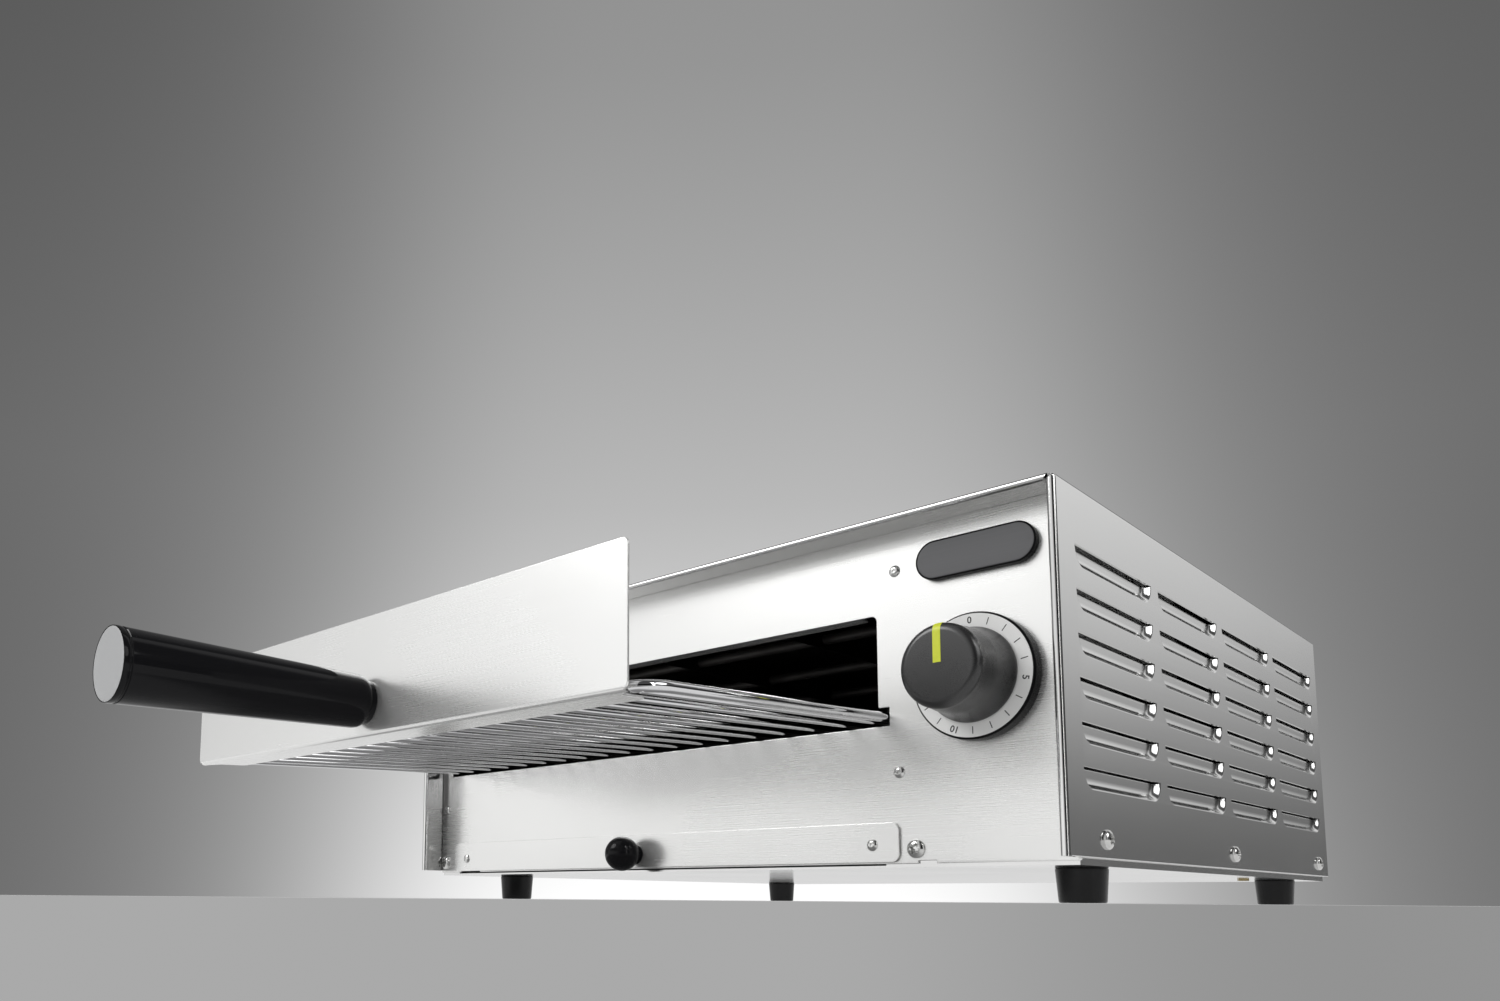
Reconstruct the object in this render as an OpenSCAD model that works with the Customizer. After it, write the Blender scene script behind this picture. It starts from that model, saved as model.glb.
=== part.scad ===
// Countertop electric pizza oven: folded steel case, sliding wire rack, crumb tray and timer.
// X runs to the right as seen from the front, Y to the back, Z up from the table.
// The rest pose has the rack drawn out, the tray shut and the timer at zero.

/* [Case] */
// Width of the outer cover
case_w = 482; // [470:2:560]
// Depth of the outer cover, front edge to rear edge
case_d = 475; // [470:5:560]
// Height of the cover's top above the table
case_h = 199; // [195:1:230]
// Height of the cover's lower edges above the table
cover_z = 21; // [20:0.5:26]
// Thickness of the stainless sheet of cover, panels and plates
sheet_t = 1.2; // [0.8:0.1:1.4]
// Gap left between one sheet piece and the next
sheet_gap = 0.5; // [0.3:0.1:1]
// Distance from the cover's front edge back to the front panel
panel_setback = 18.4; // [14:0.2:26]
// Outer radius of the bends between the cover's top and sides
cover_r = 2.6; // [2.5:0.1:4]
// Gap inside the open hem at the cover's front edges
hem_gap = 2; // [1:0.1:2.4]
// Clearance from that hem's rear edge to the screw heads on the front panel
hem_clear = 0.3; // [0.3:0.1:4]
// Gap left at the cover's upper corners between the top's hem and the sides' hems
hem_corner = 0.6; // [0.3:0.1:3]
// Height of the folded hem at the cover's lower edges
hem_height = 4; // [3:0.5:6]
// Distance from the cover's rear edge forward to the rear panel
rear_setback = 3; // [1:0.5:8]
// Height of the base pan's underside above the table
pan_z = 17.5; // [15:0.5:19]
// Height of the front panel's lower edge over the base pan's underside
panel_lift = 2; // [0:0.1:3]
// Height of the base pan's turned-up sides
pan_side_h = 27; // [22:1:32]

/* [Louvres] */
// Length of one louvre
louvre_l = 102.2; // [60:0.1:103]
// Height of one louvre
louvre_h = 8.7; // [6:0.1:10]
// How far a louvre is pressed inwards
louvre_in = 3.4; // [2:0.1:4.5]
// Open slit above the pressed part
louvre_slit = 0.5; // [0.3:0.1:2]
// Spacing of the louvre columns
louvre_col_pitch = 112; // [105:0.2:113]
// Spacing of the louvre rows
louvre_row_pitch = 21.2; // [16:0.1:22]
// Clearance from the chamber's front lip to the first louvre
louvre_front = 0.3; // [0.3:0.1:10]
// Height of the lowest louvre's slit above the table
louvre_z = 63.1; // [60:0.1:66]
// Least distance from the last louvre to the cover's rear edge
louvre_rear = 12; // [8:0.5:20]
// Least distance from the top louvre's slit to the cover's top
louvre_top = 27; // [24:0.5:40]

/* [Slot] */
// Distance from the chamber's inner wall to the slot's end, each side
slot_inset = 8.25; // [8:0.05:14]
// Height of the slot
slot_h = 60; // [50:1:66]
// Height of the slot's lower edge above the table
slot_z = 92; // [88:0.5:96]
// Corner radius of the slot
slot_r = 3; // [1:0.5:6]
// Width of the notches at the slot's lower corners
notch_w = 6.5; // [6.3:0.1:8]
// Height of the notches
notch_h = 10; // [9.5:0.1:14]
// Depth of the fold along the slot's upper edge
slot_fold = 10; // [6:1:14]
// Width of the relief beside that fold
fold_relief = 10; // [5:1:16]

/* [Rack] */
// Gap from the rack's frame to the chamber's walls, each side
rack_side_gap = 2.25; // [2:0.05:6]
// Depth of the rack's frame
rack_d = 370; // [330:5:375]
// How far the rack is drawn out in the rest pose
rack_out = 200; // [150:5:230]
// Slope of the rack's run, down towards the front
rack_slope = 2.7; // [2.5:0.1:3]
// Height of the rods' underside over the slot's lower edge
rack_lift = 1.5; // [1.5:0.05:1.8]
// Diameter of the rods
rod_d = 5; // [4:0.1:5.2]
// Diameter of the looped frame rod
loop_d = 5.5; // [5:0.1:5.8]
// Height of the frame rod's middle over the rods' underside
loop_up = 4; // [3.8:0.1:4.2]
// Corner radius of the frame rod, at its middle
loop_r = 16; // [10:1:24]
// Spacing of the rods
rod_pitch = 20; // [16:0.5:26]
// Gap from the front plate back to the frame rod's middle
loop_setback = 13; // [12:0.5:16]
// How far the front plate reaches past the slot, each side
plate_lap = 7; // [4:0.1:7]
// Height of the front plate
plate_h = 63.5; // [60:0.5:68]
// Corner radius of the front plate
plate_r = 3.5; // [1:0.5:6]
// Gap from the shut front plate to the front panel
plate_gap = 0.8; // [0.5:0.1:1.5]
// Depth of the flange along the plate's lower edge
flange_d = 25; // [20:1:32]
// How much shorter the flange's rear edge is at each end
flange_clip = 12; // [11:0.5:20]
// Clearance of the rack's frame in its guide channels
guide_clear = 0.3; // [0.3:0.05:0.5]

/* [Handle] */
// Length of the handle from the front plate
grip_l = 131.5; // [100:0.5:140]
// Radius of the handle at the plate
grip_root_r = 13.8; // [11:0.1:15]
// Radius of the handle at its free end
grip_end_r = 16.6; // [15.5:0.1:18]
// Height of the handle's axis over the plate's lower edge
grip_up = 17.6; // [17:0.1:24]
// Radius of the root collar
collar_r = 11.5; // [9:0.1:11.8]
// Thickness of the root collar
collar_t = 3; // [1:0.5:5]
// Width of the black rim around the end cap
cap_rim = 1.1; // [0.8:0.1:2]
// Radius of the handle bolt's shank
bolt_r = 3; // [2.5:0.1:4]

/* [Crumb tray] */
// Offset of the tray from the middle of the chamber
tray_shift = 2.5; // [2:0.1:3.5]
// How much narrower than the chamber the tray's pan is, each side
tray_inset = 17.5; // [17:0.1:24]
// How far the pan's front wall reaches past its sides
tray_ear = 6; // [5.5:0.1:6.5]
// Depth of the tray's pan
tray_d = 385; // [350:5:390]
// Height of the tray's walls
tray_h = 14; // [10:0.5:15]
// Thickness of the tray's sheet
tray_t = 0.8; // [0.6:0.1:1]
// Height of the tray's floor over the base pan
tray_up = 3.8; // [3.4:0.1:4.2]
// How far the tray's front plate reaches past its pan, each side
tray_front_lap = 14.6; // [13:0.1:16]
// Offset of the front plate from the middle of the tray
tray_front_x = 3.3; // [2:0.1:4]
// Height of the tray's front plate
tray_front_h = 20.7; // [20.5:0.1:24]
// Corner radius of the tray's front plate
tray_front_r = 4.5; // [2:0.5:7]
// Diameter of the tray's ball knob
ball_d = 20.5; // [14:0.5:21]
// Distance from the tray's front plate to the middle of the ball
ball_out = 13; // [12:0.5:16]

/* [Timer] */
// Distance from the case's right side to the timer's axis
timer_in = 48; // [46:0.5:50]
// Height of the timer's axis above the table
timer_z = 110.8; // [106:0.2:116]
// Radius of the black dial base
dial_r = 31.8; // [30:0.1:33]
// Thickness of the dial base
dial_t = 8; // [4:0.5:10]
// Width of the black rim outside the white ring
dial_rim = 1.1; // [0.8:0.1:2]
// Thickness of the white scale ring
ring_t = 0.4; // [0.3:0.1:0.8]
// Radius of the knob at its base
knob_r = 23.7; // [21:0.1:25]
// Radius of the knob at its front shoulder
knob_front_r = 20.6; // [18:0.1:21]
// Length of the knob
knob_l = 33.5; // [26:0.5:38]
// Radius of the knob's front shoulder
knob_round = 4.5; // [3:0.5:6]
// Width of the pointer on the knob
pointer_w = 4; // [2:0.2:5]
// Radius of the timer's shaft
shaft_r = 3; // [2.5:0.1:3.5]
// Radial clearance of the shaft in the timer's bush
shaft_clear = 0.06; // [0.03:0.01:0.09]
// Side of the square timer body
timer_side = 44; // [36:1:48]
// Depth of the timer body behind the panel
timer_deep = 34; // [26:1:40]

/* [Badge] */
// Length of the badge
badge_l = 63; // [50:1:66]
// Height of the badge
badge_h = 21.6; // [18:0.5:24]
// Distance from the case's right side to the badge's middle
badge_in = 47; // [46:0.5:50]
// Distance from the case's top down to the badge's middle
badge_drop = 25.2; // [23:0.1:28]
// Thickness of the badge's rim
badge_t = 4; // [2:0.5:6]
// Width of the badge's rim
badge_rim_w = 3.2; // [2:0.2:5]

/* [Chamber] */
// Distance from the case's left side to the chamber's inner wall
chamber_left = 11; // [11:0.1:14]
// Distance from the case's right side to the chamber's inner wall, the space for the controls
control_w = 96; // [96:0.5:104]
// Depth of the chamber behind the front panel
chamber_d = 400; // [398:1:410]
// Height of the chamber's inner top above the table
chamber_top = 172; // [168:1:180]
// Thickness of the chamber's sheet
liner_t = 0.8; // [0.6:0.1:1]
// Height of the tray runners, which carry the chamber, over the base pan
runner_h = 27; // [24:0.5:30]
// Thickness of runners, guides and brackets
rail_t = 1.2; // [0.8:0.1:1.4]

/* [Heating] */
// Diameter of the tubular heating elements
heater_d = 6.5; // [5.5:0.1:8]
// Spacing of an element's straight legs
heater_pitch = 82; // [60:1:86]
// Distance from the front panel to the first leg
heater_y = 62; // [58:1:70]
// Height of the upper element above the table
upper_z = 162; // [158:0.5:164]
// Height of the lower element above the table
lower_z = 68; // [62:0.5:72]
// Distance from the chamber's left wall to the bends' outer side
heater_margin = 30; // [20:1:50]

/* [Feet] */
// Radius of a rubber foot at the top
foot_top_r = 12.6; // [11:0.1:14]
// Radius of a rubber foot at the bottom
foot_low_r = 11.4; // [9:0.1:12]
// Distance from the case's side to the feet's axes
foot_in = 24; // [23:0.5:30]
// Distance from the cover's front edge to the front feet
foot_front = 75; // [60:1:90]
// Distance from the cover's rear edge to the rear feet
foot_rear = 47; // [40:1:70]

/* [Fasteners] */
// Radius of a panel or cover screw's head
screw_head_r = 4.8; // [4:0.1:5.2]
// Height of a screw's head
screw_head_h = 2.6; // [2:0.1:3.4]
// Radius of a screw's shank
screw_r = 2; // [1.5:0.1:2.3]
// Radius of a rivet's head
rivet_head_r = 3.2; // [2.6:0.1:3.4]
// Height of a rivet's head
rivet_head_h = 1.5; // [1:0.1:2]
// Radius of a rivet's shank
rivet_r = 1.6; // [1.2:0.1:1.8]
// Radial clearance of fasteners in their holes
hole_clear = 0.1; // [0.05:0.05:0.2]
// Height of the side screws above the table
side_screw_z = 30; // [28:0.5:33]
// Height of the front panel's lower screws above the table
front_screw_z = 27; // [26:0.5:30]
// Radius of the mains gland's body
gland_r = 8; // [6:0.5:10]

/* [Hidden] */

round_fn = 48;
ball_fn = 64;

// Front edge of the cover
louvre_y = panel_setback + sheet_t + liner_t + louvre_front;
hem_r = sheet_t + hem_gap / 2;
hem_depth = panel_setback - screw_head_h - hem_clear;

// Widths that follow the case
chamber_w = case_w - chamber_left - control_w;
slot_x = (chamber_left - control_w) / 2;
slot_w = chamber_w - 2 * slot_inset;
rack_w = chamber_w - 2 * rack_side_gap;
plate_w = slot_w + 2 * plate_lap;
tray_x = slot_x + tray_shift;
tray_w = chamber_w - 2 * tray_inset;
tray_front_w = tray_w + 2 * tray_front_lap;
timer_x = case_w / 2 - timer_in;
badge_x = case_w / 2 - badge_in;
badge_z = case_h - badge_drop;
louvre_cols = floor((case_d - louvre_y - louvre_l - louvre_rear) / louvre_col_pitch) + 1;
louvre_rows = floor((case_h - louvre_z - louvre_top) / louvre_row_pitch) + 1;
// Heights
pan_top_z = pan_z + sheet_t;
panel_low_z = pan_z + panel_lift;
panel_top_z = case_h - sheet_t - sheet_gap;
plate_tilt_drop = sheet_t / cos(rack_slope) + sheet_t * sin(rack_slope);
plate_s = -(rack_out + plate_gap);
plate_z = slot_z + rack_lift + plate_s * sin(rack_slope) - plate_tilt_drop;
grip_z = plate_z + grip_up;
tray_z = pan_top_z + tray_up;
runner_top_z = pan_top_z + runner_h;
chamber_low_z = runner_top_z;

// Lengths along Y, counted from the cover's front edge
grip_end_from_edge = panel_setback + plate_s * cos(rack_slope) - sheet_t - grip_l;
gland_out = 20;
rear_reach = case_d + gland_out - rear_setback;
edge_y = -(grip_end_from_edge + rear_reach) / 2;
panel_y = edge_y + panel_setback;
panel_back_y = panel_y + sheet_t;
rear_y = edge_y + case_d;
rear_panel_y = rear_y - rear_setback - sheet_t;
plate_back_y = panel_y + plate_s * cos(rack_slope);
plate_y = plate_back_y - sheet_t;
chamber_back_y = panel_back_y + chamber_d;

// Half widths
cover_in = case_w / 2 - sheet_t;
panel_half = cover_in - sheet_gap;
pan_half = cover_in - sheet_t - sheet_gap;
chamber_half = chamber_w / 2;
liner_half = chamber_half + liner_t;
liner_left = slot_x - liner_half;
liner_right = slot_x + liner_half;
rivet_x = liner_half + rivet_r + 0.8;

// Rack details
loop_half = rack_w / 2 - loop_d / 2;
loop_front_s = plate_s + loop_setback;
loop_rear_s = loop_front_s + rack_d - loop_d;
side_rod_x = loop_half - (loop_d + rod_d) / 2 - 0.9;
rods_each_side = floor((side_rod_x - rod_d) / rod_pitch);
guide_in = loop_half - 1.5;
guide_front_s = 7;
guide_rear_s = chamber_d - 6;

// Small parts
hem_step = 0.02;
cross_w = 1.1;
cross_l = 5.2;
cross_deep = 1.4;
rivet_tail = 1.5;
nut_h = 3.2;
thread_clear = 0.02;
nut_r = 4.04;
foot_seat_r = 4.6;
foot_seat_h = 6;
foot_head_h = 2.4;
washer_r = 8;
washer_t = 1.2;
bolt_head_r = 5.8;
bolt_head_h = 4;
bolt_in = 55;
cap_t = 2;
stud_r = 2;
bush_r = 5.2;
bush_l = 15;
leg_count = 4;
bend_r = heater_pitch / 2;
strip_inset = 11.5;
strip_reach = chamber_half - heater_margin - bend_r - strip_inset;
support_x = [-strip_reach, 5, strip_reach];
shield_x = liner_right + 14;
shield_foot_w = 13;
shield_screw_front = 60;
shield_screw_rear = 30;
rivet_rise = 40;
rivet_drop = 23;
edge_relief_h = 1.5;
edge_relief_left = 15;
edge_relief_right = 12;
edge_relief_long = 22;
edge_relief_short = 10;
edge_reliefs = [
    [liner_left + edge_relief_left, edge_relief_long], [liner_right + edge_relief_right, edge_relief_short],
];
leg_hole_reach = 5;
block_w = 36;
block_d = 18;
block_h = 18;
block_pitch = 11.5;
shield_top_z = panel_top_z - 4;
front_tab_h = 16;
tray_clear = 0.4;
side_clear = 0.8;
runner_web_x = tray_w / 2 + side_clear;
tray_open_x = runner_web_x + tray_ear;
tray_ledge_w = 8;
tray_open_lip = 0.8;
tray_rivet_in = 3.5;
tray_rivet_clear = 0.3;
side_screw_ys = [45.7, case_d / 2 + 9.5, case_d - 27];
louvre_r = louvre_h;
rear_screw_x = case_w / 2 - 16;
rear_flange_h = 16;

// Flat sheet in the XZ plane, from y to y + t
module wall_xz(y, t) {
    translate([0, y + t, 0]) rotate([90, 0, 0]) linear_extrude(t) children();
}

// Rectangle with round corners, from its lower left corner
module round_rect(w, h, r) {
    translate([r, 0]) square([w - 2 * r, h]);
    translate([0, r]) square([w, h - 2 * r]);
    for (x = [r, w - r], y = [r, h - r]) translate([x, y]) circle(r, $fn = round_fn);
}

// Rod along +Y from the origin
module rod_y(d, l) {
    rotate([-90, 0, 0]) cylinder(d = d, h = l, $fn = round_fn);
}

// Rod along +X from the origin
module rod_x(d, l) {
    rotate([0, 90, 0]) cylinder(d = d, h = l, $fn = round_fn);
}

// Quarter bend in the XY plane about the origin, from angle a
module bend(r, d, a, sweep = 90) {
    rotate([0, 0, a]) rotate_extrude(angle = sweep, $fn = ball_fn)
        translate([r, 0]) circle(d = d, $fn = round_fn);
}

// The run of the rack: X across, Y along the rods towards the back, Z up from their underside
module rack_run() {
    translate([slot_x, panel_y, slot_z + rack_lift]) rotate([rack_slope, 0, 0]) children();
}

// Domed head with a cross recess, its seat at z = 0 and its shank below
module cross_screw(head_r, head_h, shank_r, shank_l) {
    difference() {
        rotate_extrude($fn = round_fn) polygon([
            [0, 0], [head_r, 0], [head_r, head_h * 0.3], [head_r * 0.93, head_h * 0.62],
            [head_r * 0.72, head_h * 0.88], [head_r * 0.4, head_h], [0, head_h],
        ]);
        translate([0, 0, head_h - cross_deep / 2]) {
            cube([cross_l, cross_w, cross_deep + hem_step], center = true);
            cube([cross_w, cross_l, cross_deep + hem_step], center = true);
        }
    }
    translate([0, 0, -shank_l]) cylinder(r = shank_r, h = shank_l, $fn = round_fn);
}

// Blind rivet with a domed head, its seat at z = 0
module rivet(grip) {
    rotate_extrude($fn = round_fn) polygon([
        [0, -grip - rivet_tail], [rivet_r * 1.2, -grip - rivet_tail], [rivet_r * 1.2, -grip],
        [rivet_r, -grip], [rivet_r, 0], [rivet_head_r, 0], [rivet_head_r * 0.92, rivet_head_h * 0.45],
        [rivet_head_r * 0.68, rivet_head_h * 0.8], [rivet_head_r * 0.35, rivet_head_h],
        [0, rivet_head_h],
    ]);
}

module hex_nut(h, bore_r) {
    difference() {
        cylinder(r = nut_r, h = h, $fn = 6);
        translate([0, 0, -1]) cylinder(r = bore_r, h = h + 2, $fn = round_fn);
    }
}

// Hole through whatever sheet lies at z = 0, for a shank of radius r
module shank_hole(r, far = 5) {
    translate([0, 0, -far]) cylinder(r = r + hole_clear, h = 2 * far, $fn = round_fn);
}

// Places of repeated fasteners
module at_panel_rivets() {
    for (s = [-1, 1], z = [front_screw_z + rivet_rise, panel_top_z - rivet_drop]) {
        translate([slot_x + s * rivet_x, panel_y, z]) rotate([90, 0, 0]) children();
    }
}

module at_panel_screws() {
    for (x = [liner_left - 3.5, liner_right + 11]) {
        translate([x, panel_y, front_screw_z]) rotate([90, 0, 0]) children();
    }
}

module at_rear_screws() {
    for (x = [-rear_screw_x, 0, rear_screw_x], z = [pan_top_z + 9, panel_top_z - 9]) {
        translate([x, rear_panel_y + sheet_t, z]) rotate([-90, 0, 0]) children();
    }
}

module at_feet() {
    for (s = [-1, 1], y = [edge_y + foot_front, rear_y - foot_rear]) {
        translate([s * (case_w / 2 - foot_in), y, 0]) children();
    }
}

// Outer cover

// One louvre's outline, spine along +X at y = 0 and body below it
module louvre_outline() {
    translate([louvre_r, -louvre_h]) square([louvre_l - 2 * louvre_r, louvre_h]);
    for (x = [louvre_r, louvre_l - louvre_r]) {
        intersection() {
            translate([x, 0]) circle(louvre_r, $fn = round_fn);
            translate([x - louvre_r, -louvre_r]) square([2 * louvre_r, louvre_r]);
        }
    }
}

// The pressed part's section: distance below the slit's upper edge, and depth inwards
module scoop_section() {
    h = louvre_h;
    d = louvre_in;
    polygon([
        [louvre_slit, d], [h - 3, d], [h - 1.8, d * 0.8], [h - 0.8, d * 0.3], [h, 0], [h + 0.4, 0],
        [h + 0.4, sheet_t], [h - 0.2, d * 0.2 + sheet_t], [h - 1.4, d * 0.75 + sheet_t],
        [h - 2.8, d + sheet_t], [louvre_slit, d + sheet_t],
    ]);
}

module scoop() {
    translate([louvre_l - louvre_r, 0, 0]) rotate([90, 0, -90])
        linear_extrude(louvre_l - 2 * louvre_r) scoop_section();
    for (e = [[louvre_r, 180], [louvre_l - louvre_r, 270]]) {
        translate([e[0], 0, 0]) rotate([0, 0, e[1]])
            rotate_extrude(angle = 90, $fn = round_fn) scoop_section();
    }
}

module at_louvres() {
    for (c = [0 : louvre_cols - 1], r = [0 : louvre_rows - 1]) {
        translate([louvre_y + c * louvre_col_pitch, louvre_z + r * louvre_row_pitch]) children();
    }
}

// Section through the cover's sheet, its outer face on x = 0
module sheet_section() {
    translate([-sheet_t, hem_r]) square([sheet_t, case_d - hem_r]);
}

// Section through the open hem in front of that sheet
module hem_section() {
    intersection() {
        translate([-hem_r, hem_r]) difference() {
            circle(hem_r, $fn = ball_fn);
            circle(hem_r - sheet_t, $fn = ball_fn);
        }
        translate([-2 * hem_r, 0]) square([2 * hem_r, hem_r]);
    }
    translate([-2 * hem_r, hem_r]) square([sheet_t, hem_depth - hem_r]);
}

// Places things on the right side's outer face: X is the depth, Y the height, Z points inwards
module on_side() {
    translate([case_w / 2, 0, 0]) rotate([90, 0, 90]) mirror([0, 0, 1]) children();
}

module side_sheet() {
    translate([case_w / 2, 0, cover_z])
        linear_extrude(case_h - cover_z - 2 * hem_r - hem_corner) hem_section();
    difference() {
        translate([case_w / 2, 0, cover_z]) linear_extrude(case_h - cover_z - cover_r) sheet_section();
        on_side() translate([0, 0, -1]) linear_extrude(sheet_t + 2) at_louvres() louvre_outline();
        translate([0, -edge_y, 0]) at_side_screws(1)
            shank_hole(screw_r);
    }
    on_side() {
        for (c = [0 : louvre_cols - 1], r = [0 : louvre_rows - 1]) {
            translate([louvre_y + c * louvre_col_pitch, louvre_z + r * louvre_row_pitch, 0]) scoop();
        }
        translate([panel_setback + 2 * sheet_t, cover_z, sheet_t])
            cube([case_d - panel_setback - 6 * sheet_t, hem_height, sheet_t]);
    }
}

module outer_cover() {
    half = case_w / 2 - cover_r;
    hem_half = case_w / 2 - 2 * hem_r - hem_corner;
    color("silver") translate([0, edge_y, 0]) {
        side_sheet();
        mirror([1, 0, 0]) side_sheet();
        translate([half, 0, case_h]) rotate([0, -90, 0]) linear_extrude(2 * half) sheet_section();
        translate([hem_half, 0, case_h]) rotate([0, -90, 0]) linear_extrude(2 * hem_half) hem_section();
        for (e = [[half, 270], [-half, 180]]) {
            translate([e[0], 0, case_h - cover_r]) rotate([-90, 0, 0]) rotate([0, 0, e[1]])
                rotate_extrude(angle = 90, $fn = ball_fn) translate([cover_r, 0]) sheet_section();
        }
        difference() {
            wall_xz(case_d - rear_setback - 2 * sheet_t, sheet_t)
                translate([-cover_in + 1, case_h - sheet_t - rear_flange_h])
                square([2 * cover_in - 2, rear_flange_h]);
            translate([0, -edge_y, 0]) at_rear_screws() shank_hole(screw_r);
        }
    }
}

// Front panel
module slot_outline() {
    translate([slot_x - slot_w / 2, slot_z]) round_rect(slot_w, slot_h, slot_r);
    translate([slot_x - slot_w / 2 - notch_w, slot_z]) square([slot_w + 2 * notch_w, notch_h]);
}

module tray_opening() {
    translate([tray_x - tray_open_x, tray_z - tray_open_lip])
        square([2 * tray_open_x, tray_h + 2 * tray_open_lip]);
}

module front_panel() {
    color("gainsboro") {
        difference() {
            wall_xz(panel_y, sheet_t) difference() {
                translate([-panel_half, panel_low_z]) square([2 * panel_half, panel_top_z - panel_low_z]);
                slot_outline();
                tray_opening();
                translate([timer_x, timer_z]) circle(shaft_r + 2, $fn = round_fn);
                for (r = edge_reliefs) translate([r[0], panel_low_z - 1]) square([r[1], edge_relief_h + 1]);
            }
            at_panel_rivets() shank_hole(rivet_r);
            at_panel_screws() shank_hole(screw_r);
            at_timer_screws() shank_hole(screw_r);
        }
        translate([slot_x - slot_w / 2 + fold_relief, panel_y, slot_z + slot_h])
            cube([slot_w - 2 * fold_relief, slot_fold, sheet_t]);
    }
}

// Base pan
module base_pan() {
    pan_d = rear_panel_y - panel_back_y;
    color("silver") difference() {
        translate([0, panel_back_y, pan_z]) {
            translate([-pan_half, 0, 0]) cube([2 * pan_half, pan_d, sheet_t]);
            for (x = [-pan_half, pan_half - sheet_t])
                translate([x, 0, 0]) cube([sheet_t, pan_d, pan_side_h]);
            translate([-pan_half, pan_d - sheet_t, 0]) cube([2 * pan_half, sheet_t, pan_side_h]);
            translate([-pan_half, 0, 0]) cube([tray_x - tray_open_x - 2 + pan_half, sheet_t, front_tab_h]);
            translate([tray_x + tray_open_x + 2, 0, 0])
                cube([pan_half - tray_x - tray_open_x - 2, sheet_t, front_tab_h]);
        }
        at_feet() translate([0, 0, pan_z]) shank_hole(screw_r);
        at_panel_screws() shank_hole(screw_r);
        at_rear_screws() shank_hole(screw_r);
        at_side_screws(1) shank_hole(screw_r);
        at_side_screws(-1) shank_hole(screw_r);
        at_shield_screws() shank_hole(screw_r);
        at_earth() shank_hole(stud_r);
    }
}

// Rear panel
vent_w = 4;
vent_l = 40;
vent_pitch = 12;
vent_count = 24;
gland_x = timer_x - 14;
gland_z = 60;

module rear_panel() {
    color("silver") difference() {
        wall_xz(rear_panel_y, sheet_t) difference() {
            translate([-panel_half, cover_z]) square([2 * panel_half, panel_top_z - cover_z]);
            for (i = [0 : vent_count - 1]) {
                translate([(i - (vent_count - 1) / 2) * vent_pitch - vent_w / 2, chamber_top - vent_l - 14])
                    round_rect(vent_w, vent_l, vent_w / 2 - hem_step);
            }
            translate([gland_x, gland_z]) circle(gland_r - 1 + hole_clear, $fn = round_fn);
        }
        at_rear_screws() shank_hole(screw_r);
    }
}

// Cooking chamber
module heater_leg_ends(z) {
    for (y = [heater_y, heater_y + (leg_count - 1) * heater_pitch]) {
        translate([liner_right, panel_back_y + y, z]) children();
    }
}

module cooking_chamber() {
    h = chamber_top - chamber_low_z;
    lip = 8;
    color("dimgray") difference() {
        translate([slot_x, panel_back_y, chamber_low_z]) {
            for (x = [-liner_half, chamber_half]) {
                translate([x, 0, 0]) cube([liner_t, chamber_d, h + liner_t]);
            }
            translate([-liner_half, 0, h]) cube([2 * liner_half, chamber_d, liner_t]);
            translate([-liner_half, chamber_d - liner_t, 0]) cube([2 * liner_half, liner_t, h]);
            for (x = [-liner_half - lip, liner_half]) {
                translate([x, 0, 0]) cube([lip, liner_t, h + 10]);
                translate([x, 0, 0]) cube([lip, chamber_d, liner_t]);
            }
        }
        at_panel_rivets() shank_hole(rivet_r);
        for (z = [upper_z, lower_z]) {
            heater_leg_ends(z) translate([-leg_hole_reach, 0, 0])
                rod_x(heater_d + 2 * side_clear, 2 * leg_hole_reach);
        }
    }
}

// Channel that holds the rack's frame rod, on the left (s = -1) or right (s = 1) wall
module rack_guide(s) {
    low = loop_up - loop_d / 2 - guide_clear;
    high = loop_up + loop_d / 2 + guide_clear;
    w = chamber_half - guide_in;
    color("gray") rack_run() for (z = [low - rail_t, high]) {
        translate([s > 0 ? guide_in : -chamber_half, guide_front_s, z])
            cube([w, guide_rear_s - guide_front_s, rail_t]);
    }
}

// Runner that carries the tray and the chamber's lower edge
module tray_runner(s) {
    web = runner_web_x;
    far = s > 0 ? liner_right + 8 - tray_x : tray_x - liner_left + 8;
    run_d = chamber_d - 2;
    color("gray") translate([tray_x, panel_back_y, pan_top_z]) mirror([s > 0 ? 0 : 1, 0, 0]) {
        translate([web, 2, 0]) cube([rail_t, run_d - 2, runner_h]);
        translate([web + rail_t - 10, 2, 0]) cube([10, run_d - 2, rail_t]);
        translate([web, 0, runner_h - rail_t]) cube([far - web, run_d, rail_t]);
        translate([web - tray_ledge_w, 0, tray_up - tray_clear - rail_t])
            cube([tray_ledge_w + rail_t / 2, run_d, rail_t]);
    }
}

// Sheet between the chamber and the controls
module at_shield_screws() {
    for (y = [shield_screw_front, chamber_d - shield_screw_rear]) {
        translate([shield_x + shield_foot_w / 2 + 0.5, panel_back_y + y, pan_top_z + rail_t]) children();
    }
}

module heat_shield() {
    color("silver") difference() {
        translate([shield_x, panel_back_y + 2, pan_top_z]) {
            cube([rail_t, chamber_d, shield_top_z - pan_top_z]);
            cube([shield_foot_w, chamber_d, rail_t]);
        }
        at_shield_screws() shank_hole(screw_r);
        for (z = [upper_z, lower_z]) {
            heater_leg_ends(z) rod_x(2 * bush_r + 4, 40);
        }
    }
}

module shield_screws() {
    color("silver") at_shield_screws() cross_screw(3.6, 2.2, screw_r, rail_t + sheet_t);
}

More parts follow.
